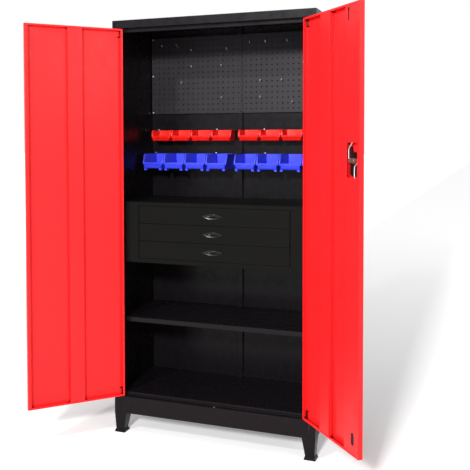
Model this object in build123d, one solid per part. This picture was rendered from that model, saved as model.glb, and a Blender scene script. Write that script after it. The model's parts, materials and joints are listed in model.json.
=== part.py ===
from build123d import *
import os
from math import cos, radians, sin

# Two-door steel tool cabinet: a folded sheet carcass on four legs, with a drawer chest, a shelf,
# pegboards, hanging bins and a pair of doors that a rod lock holds shut.
# Millimetres. Origin on the floor at the middle of the footprint, +Z up, doors on the -Y side.
# The doors are drawn shut and then swung open about their pins, which is the stored pose.

# Carcass
CARCASS_WIDTH = 900.0
CARCASS_DEPTH = 400.0
CARCASS_HEIGHT = 1800.0
CARCASS_BASE = 88.0
SHEET = 1.0
POST_WIDTH = 26.0
POST_DEPTH = 25.0
REAR_FLANGE = 30.0
TOP_FLANGE = 12.0
SEAM = 0.5
OVERRUN = 5.0

# Flats that stand for the curve of a small round piece, and of the rounded end of a flat bar
ROUND_SIDES = 10
PLATE_SIDES = 18
END_SIDES = 4

# Lintel, sill and door stops
LINTEL_HEIGHT = 34.0
STOP_DROP = 16.0
STOP_RETURN = 12.0
SILL_TOP = 162.0
STOP_RISE = 16.0
FLOOR_UPSTAND = 20.0
APRON_RETURN = 30.0

# Back panels, with a rib where they meet
BACK_BASE = 160.0
RIB_WIDTH = 25.0
RIB_DEPTH = 12.0

# Legs and foot caps
LEG_TOP = 56.0
LEG_FOOT = 38.0
LEG_INSET = 4.5
LEG_WALL = 2.0
CAP_TOP = 42.0
CAP_FOOT = 49.0
CAP_HEIGHT = 12.0
FLOOR_BOLT_RADIUS = 4.5

# Pegboards and their hooks
PEG_HEIGHT = 362.0
PEG_TOP_DROP = 30.0
PEG_DEPTH = 11.0
PEG_PITCH = 25.0
PEG_HOLE = 6.0
PEG_SIDE_MARGIN = 30.0
PEG_END_MARGIN = 15.0
BAY_SIDE_GAP = 3.0
BAY_RIB_GAP = 2.5
HOOK_WIRE = 3.0
HOOK_REACH = 26.0
HOOK_TIP = 9.0
HOOK_TAIL = 4.0
HOOK_SEAT = 0.1
# Holes that carry a hook, counted as column and row from the lower left hole of each board
HOOK_HOLES = {
    "left": [(1, 12), (4, 12), (7, 11), (14, 11), (7, 8), (13, 8), (5, 5), (13, 2)],
    "right": [(0, 12), (3, 12), (7, 12), (10, 8), (2, 5), (6, 5), (2, 2), (8, 1)],
}

# Bins and the rails that carry them
BINS_PER_RAIL = 4
BIN_GAP = 1.6
BIN_WALL = 2.0
BIN_RIM = 2.0
BIN_DRAFT = 3.0
BIN_LIP_REACH = 3.0
BIN_LIP_HEIGHT = 10.0
BIN_HOOK_WIDTH = 60.0
BIN_HOOK_DROP = 8.0
BIN_HOOK_REACH = 4.3
HANG_CLEARANCE = 0.3
RED_DROP = 78.0
RED_PITCH = 100.0
RED_HEIGHT = 50.0
RED_DEPTH = 84.0
RED_FRONT = 24.0
BLUE_DROP = 188.0
BLUE_PITCH = 104.0
BLUE_HEIGHT = 68.0
BLUE_DEPTH = 147.0
BLUE_FRONT = 29.0
BLUE_FOOT_HEIGHT = 7.0
BLUE_FOOT_WIDTH = 12.0
BLUE_FOOT_LENGTH = 20.0
# Where the side of a bin begins to fall and where it reaches the front lip, as shares of its depth
BIN_FALL_SHARES = (0.86, 0.98)
RAIL_CHANNEL = 4.0
RAIL_LIP = 12.0
RAIL_ABOVE = 10.0

# Shelf, its clips and the slots in the side panels, as steps of the pitch from the shelf's own slots
SHELF_TOP = 508.0
SHELF_LIP = 20.0
SHELF_LIP_RETURN = 12.0
SHELF_UPSTAND = 10.0
SHELF_SETBACK = 5.0
SLOT_STEPS = (-1, 0, 1, 17)
SLOT_PITCH = 50.0
SLOT_HEIGHT = 14.0
SLOT_WIDTH = 5.0
SLOT_DROP = 18.0
SLOT_EDGE_DISTANCE = 45.0
CLIP_THICKNESS = 1.5
CLIP_LENGTH = 16.0
CLIP_WIDTH = 20.0
CLIP_CLEARANCE = 0.5

# Drawer chest
CHEST_BASE = 752.0
CHEST_HEIGHT = 264.0
CHEST_DOOR_GAP = 3.0
CHEST_REAR_GAP = 1.0
FRAME_STILE = 109.0
FRAME_BASE_RAIL = 19.0
FRAME_TOP_RAIL = 16.0
FRAME_RETURN = 10.0
DRAWER_NAMES = ("bottom", "middle", "top")
DRAWER_GAP = 1.0
DRAWER_SIDE_GAP = 2.0
DRAWER_FRONT_DEPTH = 12.0
TRAY_DEPTH = 330.0
TRAY_HEIGHT = 60.0
TRAY_RISE = 5.0
RUNNER_CHANNEL_DEPTH = 10.0
RUNNER_CHANNEL_HEIGHT = 16.0
RUNNER_CHANNEL_LENGTH = 320.0
RUNNER_LENGTH = 300.0
RUNNER_NECK_HEIGHT = 6.0
RUNNER_NECK_LENGTH = 4.0
RUNNER_CLEARANCE = 0.5
LENS_STEPS = 8
PULL_WIDTH = 92.0
PULL_HEIGHT = 25.0
PULL_REACH = 2.0
PULL_WALL = 2.0
PULL_CLEARANCE = 0.3
CUP_WIDTH = 84.0
CUP_HEIGHT = 18.0
CUP_DEPTH = 9.0
CUP_FLOOR = 1.5
HOOD_EDGE = 2.0
# How far the pull's face and the cup's back are drawn in, as shares of the outline at the drawer's face
PULL_FACE_SHARE = 0.91
CUP_BACK_SHARE = 0.75

# Doors and hinge pins
DOOR_DEPTH = 20.0
DOOR_SIDE_GAP = 2.0
DOOR_END_GAP = 4.0
DOOR_MIDDLE_GAP = 3.0
DOOR_STOP_GAP = 2.0
LEFT_OPEN_ANGLE = 133.0
RIGHT_OPEN_ANGLE = 131.5
DOOR_BEVEL = 2.0
LIP_HINGE = 9.0
LIP_FREE = 14.0
LIP_END = 8.0
PIN_RADIUS = 2.0
PIN_FROM_EDGE = 7.0
PIN_FROM_FACE = 3.2
PIN_CLEARANCE = 0.05
PIN_ENGAGEMENT = 3.0
PIN_LENGTH = 36.0
PIN_TAIL = 13.0
PIN_TAIL_WIDTH = 3.2
STIFFENER_FLANGE = 12.0
LEFT_STIFFENER_FROM = 179.0
LEFT_STIFFENER_WIDTH = 62.0
RIGHT_STIFFENER_FROM = 139.0
RIGHT_STIFFENER_WIDTH = 71.0

# Rod lock on the right door; distances across the door are from its hinge edge
STILE_FROM = 322.0
LOCK_ACROSS = 373.0
LOCK_HEIGHT = 1210.0
LOCK_TURN = 45.0
WINDOW_SIDE = 37.0
WINDOW_ABOVE = 64.0
WINDOW_BELOW = 60.0
CASE_LEFT = 10.0
CASE_RIGHT = 38.0
CASE_ABOVE = 26.0
CASE_BELOW = 46.0
CASE_DEPTH = 7.0
SPINDLE_RADIUS = 6.0
SPINDLE_CLEARANCE = 0.05
SPINDLE_SKIN_GAP = 0.5
CAM_ARM = 27.0
CAM_WIDTH = 20.0
CAM_TIP_WIDTH = 13.0
CAM_THICKNESS = 3.0
CAM_HUB_RADIUS = 8.0
CAM_HUB_HEIGHT = 1.5
CRANK_PIN_RADIUS = 3.0
ROD_RADIUS = 2.5
ROD_DEPTH = 11.0
ROD_CAM_GAP = 0.5
UPPER_ROD_ACROSS = 372.0
LOWER_ROD_ACROSS = 408.0
ROD_STRAIGHT = 18.0
ROD_CRANK_RISE = 26.0
ROD_END_INSET = 2.0
ROD_HOLE_CLEARANCE = 1.0
ROD_GUIDE_CLEARANCE = 0.1
EYE_WALL = 4.0
EYE_SIDE_PLAY = 0.4
EYE_END_PLAY = 1.0
GUIDE_WIDTH = 20.0
GUIDE_HEIGHT = 14.0
GUIDE_FROM_END = 20.0
GRIP_SLOT_ACROSS = 380.0
GRIP_SLOT_WIDTH = 20.0
GRIP_SLOT_HEIGHT = 48.0
GRIP_SLOT_RISE = 60.0
GRIP_PLUG_MARGIN = 6.0
PEEP_SLOT_ACROSS = 343.0
PEEP_SLOT_WIDTH = 6.0
PEEP_SLOT_HEIGHT = 46.0
PEEP_SLOT_DROP = 40.0
PLATE_RADIUS = 22.0
PLATE_THICKNESS = 3.0
HANDLE_GAP = 0.3
HANDLE_NECK = 17.0
HANDLE_NECK_RADIUS = 8.0
HANDLE_THICKNESS = 5.0
HANDLE_LENGTH = 98.0
HANDLE_HUB_RADIUS = 8.5
HANDLE_TIP_RADIUS = 6.5
HANDLE_BEVEL = 1.5

# Screws
SCREW_RADIUS = 4.0
SCREW_HEAD = 2.0
SCREW_INSET = 6.5
SCREW_SIDES = 6

# Derived places
HALF_WIDTH = CARCASS_WIDTH / 2
INNER_HALF = HALF_WIDTH - SHEET
FRONT = -CARCASS_DEPTH / 2
REAR = CARCASS_DEPTH / 2
BACK_FACE = REAR - 2 * SHEET
PANEL_TOP = CARCASS_HEIGHT - SHEET
POST_INNER = HALF_WIDTH - POST_WIDTH
POST_REAR = FRONT + POST_DEPTH
BETWEEN_POSTS = POST_INNER - SEAM
BEHIND_POSTS = POST_REAR + SEAM
RIB_HALF = RIB_WIDTH / 2
RIB_SIDE = RIB_HALF + SHEET
RIB_FACE = REAR - SHEET - RIB_DEPTH
LINTEL_BASE = CARCASS_HEIGHT - LINTEL_HEIGHT
FLOOR_TOP = SILL_TOP + STOP_RISE
BAY_OUTER = INNER_HALF - BAY_SIDE_GAP
BAY_INNER = RIB_SIDE + BAY_RIB_GAP
PEG_FACE = BACK_FACE - PEG_DEPTH
PEG_TOP = CARCASS_HEIGHT - PEG_TOP_DROP
PEG_BASE = PEG_TOP - PEG_HEIGHT
RED_TOP = PEG_BASE - RED_DROP
BLUE_TOP = PEG_BASE - BLUE_DROP

DOOR_EDGE = POST_INNER - DOOR_SIDE_GAP
DOOR_WIDTH = DOOR_EDGE - DOOR_MIDDLE_GAP / 2
DOOR_BASE = SILL_TOP + DOOR_END_GAP
DOOR_TOP = LINTEL_BASE - DOOR_END_GAP
STOP_FACE = FRONT + DOOR_DEPTH + DOOR_STOP_GAP
PIN_X = DOOR_EDGE - PIN_FROM_EDGE
PIN_Y = FRONT + PIN_FROM_FACE

SHELF_FRONT = POST_REAR + SHELF_SETBACK
SLOT_ROWS = (POST_REAR + SLOT_EDGE_DISTANCE, BACK_FACE - SLOT_EDGE_DISTANCE)
CHEST_TOP = CHEST_BASE + CHEST_HEIGHT
CHEST_FACE = FRONT + DOOR_DEPTH + CHEST_DOOR_GAP
CHEST_REAR = RIB_FACE - CHEST_REAR_GAP
OPENING_HALF = INNER_HALF - FRAME_STILE
OPENING_BASE = CHEST_BASE + FRAME_BASE_RAIL
OPENING_TOP = CHEST_TOP - FRAME_TOP_RAIL
PARTITION_FACE = OPENING_HALF + SHEET
DRAWER_COUNT = len(DRAWER_NAMES)
DRAWER_PITCH = (OPENING_TOP - OPENING_BASE - DRAWER_GAP) / DRAWER_COUNT
DRAWER_HEIGHT = DRAWER_PITCH - DRAWER_GAP
DRAWER_HALF = OPENING_HALF - DRAWER_SIDE_GAP
TRAY_FRONT = CHEST_FACE + DRAWER_FRONT_DEPTH
CHANNEL_FACE = PARTITION_FACE - RUNNER_CHANNEL_DEPTH
TRAY_HALF = CHANNEL_FACE - RUNNER_NECK_LENGTH
BIN_BACK = BACK_FACE - SHEET - RAIL_CHANNEL - SHEET - HANG_CLEARANCE

STILE_FACE = DOOR_DEPTH - SHEET
CAM_BACK = ROD_DEPTH + ROD_RADIUS + ROD_CAM_GAP
EYE_DEPTH = 2 * ROD_RADIUS
CRANK_SIDE_TRAVEL = CAM_ARM * (1 - cos(radians(LOCK_TURN)))


def block(x0, x1, y0, y1, z0, z1):
    """A box between two opposite corners."""
    return Pos((x0 + x1) / 2, (y0 + y1) / 2, (z0 + z1) / 2) * Box(abs(x1 - x0), abs(y1 - y0), abs(z1 - z0))


def folded(points, side, plane, length):
    """A sheet folded along a line of points, lying on one side of it, pushed along the plane's normal."""
    section = offset(Polyline(*points), amount=SHEET, side=side, kind=Kind.INTERSECTION)
    return extrude(plane * make_face(section.edges()), amount=length)


def upright(face, x, y, z0, z1):
    """A face drawn about the origin, set at one place and pushed along Z from z0 to z1."""
    return extrude(Pos(x, y, z0) * face, amount=z1 - z0)


def across(face, x, z, y0, y1):
    """A face drawn about the origin, stood up at one place and pushed along Y from y0 to y1."""
    return extrude(Plane.XZ.offset(-y1) * Pos(x, z) * face, amount=y1 - y0)


def round_bar(radius):
    """The many-sided section of a small round bar, with its corners on the radius."""
    return RegularPolygon(radius, ROUND_SIDES)


def round_hole(radius):
    """The many-sided section of a small round hole, with its flats outside the radius."""
    return RegularPolygon(radius, ROUND_SIDES, major_radius=False)


def square_hole(x, y, half, z0, z1):
    """A square cutter along Z."""
    return block(x - half, x + half, y - half, y + half, z0, z1)


def flat_bar(left, left_radius, right, right_radius):
    """The outline of a level bar between two rounded ends of given places and radii."""
    turns = [radians(180 * step / END_SIDES) for step in range(END_SIDES + 1)]
    points = [(left - left_radius * sin(turn), left_radius * cos(turn)) for turn in turns]
    points += [(right + right_radius * sin(turn), -right_radius * cos(turn)) for turn in turns]
    return make_face(Polyline(*points, close=True))


def ring(x, y, width, depth, z):
    """Corners of a level rectangle about a middle."""
    return [(x + sx * width / 2, y + sy * depth / 2, z) for sx, sy in ((-1, -1), (1, -1), (1, 1), (-1, 1))]


def drafted(low, high):
    """A solid with flat sides between two flat outlines of as many corners."""
    faces = [Face(Wire.make_polygon(low)), Face(Wire.make_polygon(high))]
    for step in range(len(low)):
        before = step - 1
        faces.append(Face(Wire.make_polygon([low[before], low[step], high[step], high[before]])))
    return Solid(Shell(faces))


def wire(points, section):
    """A bar of one section along a line of points with mitred corners."""
    path = Polyline(*points)
    return sweep(Plane(origin=path @ 0, z_dir=path % 0) * section, path=path, transition=Transition.RIGHT)


def rib_notch(z0, z1):
    """Room for the rib of the back panels in a sheet that reaches the back."""
    return block(-RIB_SIDE - SEAM, RIB_SIDE + SEAM, RIB_FACE - SEAM, REAR, z0, z1)


def side_panel():
    """Left side: front post, wall, rear flange and foot flange in one sheet, with rows of shelf slots."""
    outline = [
        (-POST_INNER, POST_REAR),
        (-POST_INNER, FRONT),
        (-HALF_WIDTH, FRONT),
        (-HALF_WIDTH, REAR),
        (-HALF_WIDTH + REAR_FLANGE, REAR),
    ]
    panel = folded(outline, Side.RIGHT, Plane.XY.offset(CARCASS_BASE), PANEL_TOP - CARCASS_BASE)
    panel += block(-INNER_HALF, -POST_INNER, FRONT + SHEET, REAR - SHEET, CARCASS_BASE, CARCASS_BASE + SHEET)
    shelf_slot = SHELF_TOP - SHEET - SLOT_DROP
    for y in SLOT_ROWS:
        for step in SLOT_STEPS:
            z = shelf_slot + step * SLOT_PITCH
            panel -= block(-HALF_WIDTH - OVERRUN, -INNER_HALF + OVERRUN, y - SLOT_WIDTH / 2, y + SLOT_WIDTH / 2,
                           z - SLOT_HEIGHT / 2, z + SLOT_HEIGHT / 2)
    return panel


def back_panels():
    """Left and right back sheets; the left one caps the rib where they meet."""
    left = [
        (-INNER_HALF, REAR - SHEET),
        (-RIB_HALF, REAR - SHEET),
        (-RIB_HALF, RIB_FACE + SHEET),
        (RIB_SIDE, RIB_FACE + SHEET),
    ]
    right = [
        (RIB_HALF, RIB_FACE + SHEET),
        (RIB_HALF, REAR - SHEET),
        (INNER_HALF, REAR - SHEET),
    ]
    base = Plane.XY.offset(BACK_BASE)
    return [folded(line, Side.RIGHT, base, PANEL_TOP - BACK_BASE) for line in (left, right)]


def top_panel():
    """Top sheet with side and rear flanges, the lintel between the posts and the upper door stop."""
    lintel = [
        (FRONT, PANEL_TOP + SHEET),
        (FRONT, LINTEL_BASE),
        (STOP_FACE, LINTEL_BASE),
        (STOP_FACE, LINTEL_BASE - STOP_DROP),
        (STOP_FACE + STOP_RETURN, LINTEL_BASE - STOP_DROP),
    ]
    panel = block(-HALF_WIDTH, HALF_WIDTH, FRONT, REAR, PANEL_TOP, CARCASS_HEIGHT)
    panel += folded(lintel, Side.LEFT, Plane.YZ.offset(-BETWEEN_POSTS), 2 * BETWEEN_POSTS)
    flange_base = PANEL_TOP - TOP_FLANGE
    for sign in (-1, 1):
        panel += block(sign * INNER_HALF, sign * (INNER_HALF - SHEET), BEHIND_POSTS, BACK_FACE,
                       flange_base, PANEL_TOP)
    panel += block(-INNER_HALF, INNER_HALF, BACK_FACE - SHEET, BACK_FACE, flange_base, PANEL_TOP)
    panel -= rib_notch(flange_base - OVERRUN, PANEL_TOP)
    return panel - frame_holes(LINTEL_BASE, UPPER_ROD_ACROSS)


def frame_holes(z, rod_across):
    """Holes through the lintel or the sill for the two hinge pins and one lock rod."""
    z0 = z - OVERRUN
    z1 = z + OVERRUN
    bearing = round_hole(PIN_RADIUS + PIN_CLEARANCE)
    holes = [upright(bearing, sign * PIN_X, PIN_Y, z0, z1) for sign in (-1, 1)]
    keeper = square_hole(DOOR_EDGE - rod_across, FRONT + ROD_DEPTH, ROD_RADIUS + ROD_HOLE_CLEARANCE, z0, z1)
    return holes + [keeper]


def floor_panel():
    """Floor deck with a rear upstand, the lower door stop and the sill between the posts."""
    sill = [
        (FRONT, SILL_TOP),
        (STOP_FACE, SILL_TOP),
        (STOP_FACE, FLOOR_TOP),
        (BEHIND_POSTS, FLOOR_TOP),
    ]
    panel = folded(sill, Side.RIGHT, Plane.YZ.offset(-BETWEEN_POSTS), 2 * BETWEEN_POSTS)
    panel += block(-INNER_HALF, INNER_HALF, BEHIND_POSTS, BACK_FACE, FLOOR_TOP - SHEET, FLOOR_TOP)
    panel += block(-INNER_HALF, INNER_HALF, BACK_FACE - SHEET, BACK_FACE, FLOOR_TOP, FLOOR_TOP + FLOOR_UPSTAND)
    panel -= rib_notch(FLOOR_TOP - OVERRUN, FLOOR_TOP + FLOOR_UPSTAND + OVERRUN)
    return panel - frame_holes(SILL_TOP, LOWER_ROD_ACROSS)


def aprons():
    """Front apron below the sill and rear apron below the back panels."""
    front = [
        (FRONT, SILL_TOP - SHEET),
        (FRONT, CARCASS_BASE),
        (FRONT + APRON_RETURN, CARCASS_BASE),
    ]
    rear = [
        (REAR - SHEET, BACK_BASE),
        (REAR - SHEET, CARCASS_BASE),
        (REAR - SHEET - APRON_RETURN, CARCASS_BASE),
    ]
    plane = Plane.YZ.offset(-BETWEEN_POSTS)
    return [
        folded(front, Side.LEFT, plane, 2 * BETWEEN_POSTS),
        folded(rear, Side.RIGHT, plane, 2 * BETWEEN_POSTS),
    ]


def corner_square(size, inset, sign_x, sign_y, z):
    """Corners of a square in a corner of the footprint, at one height."""
    x = sign_x * (HALF_WIDTH - inset - size / 2)
    y = sign_y * (REAR - inset - size / 2)
    return ring(x, y, size, size, z)


def foot_middle(sign_x, sign_y):
    """Middle of a foot, where its floor bolt goes."""
    reach = LEG_INSET + LEG_FOOT / 2
    return sign_x * (HALF_WIDTH - reach), sign_y * (REAR - reach)


def leg(sign_x, sign_y):
    """A tapered hollow leg, open at the top, with a bolt hole in its floor."""
    foot = corner_square(LEG_FOOT, LEG_INSET, sign_x, sign_y, 0)
    shoulder = corner_square(LEG_FOOT, LEG_INSET, sign_x, sign_y, CAP_HEIGHT)
    top = corner_square(LEG_TOP, 0, sign_x, sign_y, CARCASS_BASE)
    bore = LEG_FOOT - 2 * LEG_WALL
    bore_inset = LEG_INSET + LEG_WALL
    bore_base = corner_square(bore, bore_inset, sign_x, sign_y, LEG_WALL)
    bore_shoulder = corner_square(bore, bore_inset, sign_x, sign_y, CAP_HEIGHT)
    bore_top = corner_square(LEG_TOP - 2 * LEG_WALL, LEG_WALL, sign_x, sign_y, CARCASS_BASE)
    shell = drafted(foot, shoulder) + drafted(shoulder, top)
    shell -= drafted(bore_base, bore_shoulder) + drafted(bore_shoulder, bore_top)
    x, y = foot_middle(sign_x, sign_y)
    return shell - upright(Circle(FLOOR_BOLT_RADIUS), x, y, -OVERRUN, OVERRUN)


def foot_cap(sign_x, sign_y):
    """A flared foot cap round the end of a leg."""
    flare = (CAP_FOOT - LEG_FOOT) / 2
    collar = (CAP_TOP - LEG_FOOT) / 2
    foot = corner_square(CAP_FOOT, LEG_INSET - flare, sign_x, sign_y, 0)
    rim = corner_square(CAP_TOP, LEG_INSET - collar, sign_x, sign_y, CAP_HEIGHT)
    x, y = foot_middle(sign_x, sign_y)
    return drafted(foot, rim) - upright(Rectangle(LEG_FOOT, LEG_FOOT), x, y, -OVERRUN, CAP_HEIGHT + OVERRUN)


def peg_grid():
    """Columns and rows of holes that fit on one pegboard."""
    columns = int((BAY_OUTER - BAY_INNER - 2 * PEG_SIDE_MARGIN) // PEG_PITCH) + 1
    rows = int((PEG_HEIGHT - 2 * PEG_END_MARGIN) // PEG_PITCH) + 1
    return columns, rows


def peg_hole(sign, column, row):
    """Middle of one hole of the left (-1) or right (1) pegboard."""
    columns, rows = peg_grid()
    middle_x = sign * (BAY_OUTER + BAY_INNER) / 2
    middle_z = PEG_BASE + PEG_HEIGHT / 2
    x = middle_x + (column - (columns - 1) / 2) * PEG_PITCH
    z = middle_z + (row - (rows - 1) / 2) * PEG_PITCH
    return x, z


def pegboard(sign):
    """A perforated pan on the back panel, with its edges turned back to it."""
    columns, rows = peg_grid()
    width = BAY_OUTER - BAY_INNER
    grid = GridLocations(PEG_PITCH, PEG_PITCH, columns, rows)
    face = Rectangle(width, PEG_HEIGHT) - [place * Rectangle(PEG_HOLE, PEG_HOLE) for place in grid]
    rim = Rectangle(width, PEG_HEIGHT) - Rectangle(width - 2 * SHEET, PEG_HEIGHT - 2 * SHEET)
    middle_x = sign * (BAY_OUTER + BAY_INNER) / 2
    middle_z = PEG_BASE + PEG_HEIGHT / 2
    face_back = PEG_FACE + SHEET
    board = across(face, middle_x, middle_z, PEG_FACE, face_back)
    return board + across(rim, middle_x, middle_z, face_back, BACK_FACE)


def pegboard_hooks():
    """Wire hooks resting in holes of the pegboards."""
    hooks = []
    section = Rectangle(HOOK_WIRE, HOOK_WIRE)
    for sign, places in ((-1, HOOK_HOLES["left"]), (1, HOOK_HOLES["right"])):
        for column, row in places:
            x, z = peg_hole(sign, column, row)
            low = z - PEG_HOLE / 2 + HOOK_SEAT + HOOK_WIRE / 2
            tip = PEG_FACE - HOOK_REACH
            line = [(x, PEG_FACE + SHEET + HOOK_TAIL, low), (x, tip, low), (x, tip, low + HOOK_TIP)]
            hooks.append(wire(line, section))
    return hooks


def rail_lip(bin_top):
    """Height of the rail's lip that a bin with this top hangs on."""
    return bin_top - BIN_WALL - HANG_CLEARANCE


def bin_rails():
    """Four J-shaped rails on the back panels, one for each group of bins."""
    rails = []
    for bin_top in (RED_TOP, BLUE_TOP):
        lip = rail_lip(bin_top)
        base = lip - RAIL_LIP
        lip_face = BACK_FACE - SHEET - RAIL_CHANNEL - SHEET
        line = [(BACK_FACE, bin_top + RAIL_ABOVE), (BACK_FACE, base), (lip_face, base), (lip_face, lip)]
        for start in (-BAY_OUTER, BAY_INNER):
            rails.append(folded(line, Side.RIGHT, Plane.YZ.offset(start), BAY_OUTER - BAY_INNER))
    return rails


def bin_block(inset, width, depth, height, base):
    """The drafted block of a bin's body, drawn in by inset all round, from base to its top."""
    top_width = width - 2 * BIN_RIM - 2 * inset
    foot_width = top_width - 2 * BIN_DRAFT
    foot = ring(0, (BIN_DRAFT - depth) / 2, foot_width, depth - BIN_DRAFT - 2 * inset, base)
    return drafted(foot, ring(0, -depth / 2, top_width, depth - 2 * inset, height))


def storage_bin(width, depth, height, front, footed):
    """An open-fronted plastic bin with its back at y = 0 and its body's base at z = 0."""
    fall_from = -BIN_FALL_SHARES[0] * depth
    fall_to = -BIN_FALL_SHARES[1] * depth
    rim = block(-width / 2, width / 2, fall_from, 0, height - BIN_RIM, height)
    body = bin_block(0, width, depth, height, 0) + rim
    body -= bin_block(BIN_WALL, width, depth, height, BIN_WALL)
    mouth = Polyline(
        (fall_from, height + OVERRUN),
        (fall_from, height),
        (fall_to, front),
        (-depth - OVERRUN, front),
        (-depth - OVERRUN, height + OVERRUN),
        close=True,
    )
    body -= extrude(Plane.YZ.offset(-width) * make_face(mouth), amount=2 * width)
    foot_half = width / 2 - BIN_RIM - BIN_DRAFT
    body += block(-foot_half, foot_half, -depth - BIN_LIP_REACH, BIN_DRAFT - depth,
                  front - BIN_LIP_HEIGHT, front)
    hook_half = BIN_HOOK_WIDTH / 2
    under = height - BIN_WALL
    body += block(-hook_half, hook_half, 0, BIN_HOOK_REACH, under, height)
    body += block(-hook_half, hook_half, BIN_HOOK_REACH - BIN_WALL, BIN_HOOK_REACH,
                  under - BIN_HOOK_DROP, height)
    if footed:
        foot_front = 2 * BIN_DRAFT - depth
        for sign in (-1, 1):
            body += block(sign * foot_half, sign * (foot_half - BLUE_FOOT_WIDTH), foot_front,
                          foot_front + BLUE_FOOT_LENGTH, -BLUE_FOOT_HEIGHT, BIN_WALL)
    return body


def bins():
    """The red row above and the blue row below, numbered from the left."""
    rows = (
        ("red", RED_PITCH, RED_DEPTH, RED_HEIGHT, RED_FRONT, RED_TOP, False),
        ("blue", BLUE_PITCH, BLUE_DEPTH, BLUE_HEIGHT, BLUE_FRONT, BLUE_TOP, True),
    )
    pieces = {}
    for colour, pitch, depth, height, front, top, footed in rows:
        body = storage_bin(pitch - BIN_GAP, depth, height, front, footed)
        base = top - height
        for number in range(2 * BINS_PER_RAIL):
            group, step = divmod(number, BINS_PER_RAIL)
            start = (-BAY_INNER - BINS_PER_RAIL * pitch, BAY_INNER)[group]
            x = start + (step + 1 / 2) * pitch
            pieces[f"{colour}_bin_{number + 1}"] = Pos(x, BIN_BACK, base) * body
    return pieces


def shelf():
    """Shelf with a turned front lip and a rear upstand, notched round the rib."""
    line = [
        (SHELF_FRONT + SHELF_LIP_RETURN, SHELF_TOP - SHELF_LIP),
        (SHELF_FRONT, SHELF_TOP - SHELF_LIP),
        (SHELF_FRONT, SHELF_TOP),
        (BACK_FACE - SHEET, SHELF_TOP),
        (BACK_FACE - SHEET, SHELF_TOP + SHELF_UPSTAND),
    ]
    deck = folded(line, Side.RIGHT, Plane.YZ.offset(-INNER_HALF), 2 * INNER_HALF)
    return deck - rib_notch(SHELF_TOP - OVERRUN, SHELF_TOP + SHELF_UPSTAND + OVERRUN)


def shelf_clips():
    """Four angle clips under the shelf, each with a tab in a slot of the side panel."""
    seat = SHELF_TOP - SHEET
    slot = seat - SLOT_DROP
    clips = []
    for sign in (-1, 1):
        for y in SLOT_ROWS:
            y0 = y - CLIP_WIDTH / 2
            y1 = y + CLIP_WIDTH / 2
            leg_base = slot - SLOT_HEIGHT / 2
            clip = block(sign * INNER_HALF, sign * (INNER_HALF - CLIP_THICKNESS), y0, y1, leg_base, seat)
            clip += block(sign * INNER_HALF, sign * (INNER_HALF - CLIP_LENGTH), y0, y1,
                          seat - CLIP_THICKNESS, seat)
            half_width = SLOT_WIDTH / 2 - CLIP_CLEARANCE
            half_height = SLOT_HEIGHT / 2 - CLIP_CLEARANCE
            clip += block(sign * HALF_WIDTH, sign * INNER_HALF, y - half_width, y + half_width,
                          slot - half_height, slot + half_height)
            clips.append(clip)
    return clips


def chest_shell():
    """Drawer chest: a sheet box across the cabinet with two partitions that carry the runners."""
    inside = CHEST_HEIGHT - 2 * SHEET
    section = Rectangle(2 * INNER_HALF, CHEST_HEIGHT) - Rectangle(2 * (INNER_HALF - SHEET), inside)
    for sign in (-1, 1):
        section += Pos(sign * (PARTITION_FACE + SHEET / 2), 0) * Rectangle(SHEET, inside)
    face = CHEST_FACE + SHEET
    shell = across(section, 0, CHEST_BASE + CHEST_HEIGHT / 2, face, CHEST_REAR)
    shell += block(-INNER_HALF, INNER_HALF, CHEST_REAR - SHEET, CHEST_REAR, CHEST_BASE, CHEST_TOP)
    for sign in (-1, 1):
        shell -= block(sign * BETWEEN_POSTS, sign * HALF_WIDTH, face - OVERRUN, BEHIND_POSTS,
                       CHEST_BASE - OVERRUN, CHEST_TOP + OVERRUN)
    return shell


def chest_face_frame():
    """Front of the chest between the posts: a plate with the drawer opening, its edges turned in."""
    frame = block(-BETWEEN_POSTS, BETWEEN_POSTS, CHEST_FACE, CHEST_FACE + SHEET, CHEST_BASE, CHEST_TOP)
    rear = CHEST_FACE + FRAME_RETURN
    frame += block(-PARTITION_FACE, PARTITION_FACE, CHEST_FACE, rear, OPENING_BASE - SHEET, OPENING_TOP + SHEET)
    frame -= block(-OPENING_HALF, OPENING_HALF, CHEST_FACE - OVERRUN, rear + OVERRUN, OPENING_BASE, OPENING_TOP)
    return frame


def drawer_base(number):
    """Lower edge of a drawer front, counted from the bottom."""
    return OPENING_BASE + DRAWER_GAP + number * DRAWER_PITCH


def runner_height(number):
    """Middle height of a drawer's runners."""
    return drawer_base(number) + TRAY_RISE + TRAY_HEIGHT / 2


def chest_runners():
    """Six channels on the partitions, open towards the drawers."""
    channels = []
    front = TRAY_FRONT + SEAM
    plane = Plane.XZ.offset(-front - RUNNER_CHANNEL_LENGTH)
    half = RUNNER_CHANNEL_HEIGHT / 2
    for number in range(DRAWER_COUNT):
        z = runner_height(number)
        line = [
            (-CHANNEL_FACE, z + half),
            (-PARTITION_FACE, z + half),
            (-PARTITION_FACE, z - half),
            (-CHANNEL_FACE, z - half),
        ]
        channel = folded(line, Side.LEFT, plane, RUNNER_CHANNEL_LENGTH)
        channels += [channel, mirror(channel, about=Plane.YZ)]
    return channels


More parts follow.
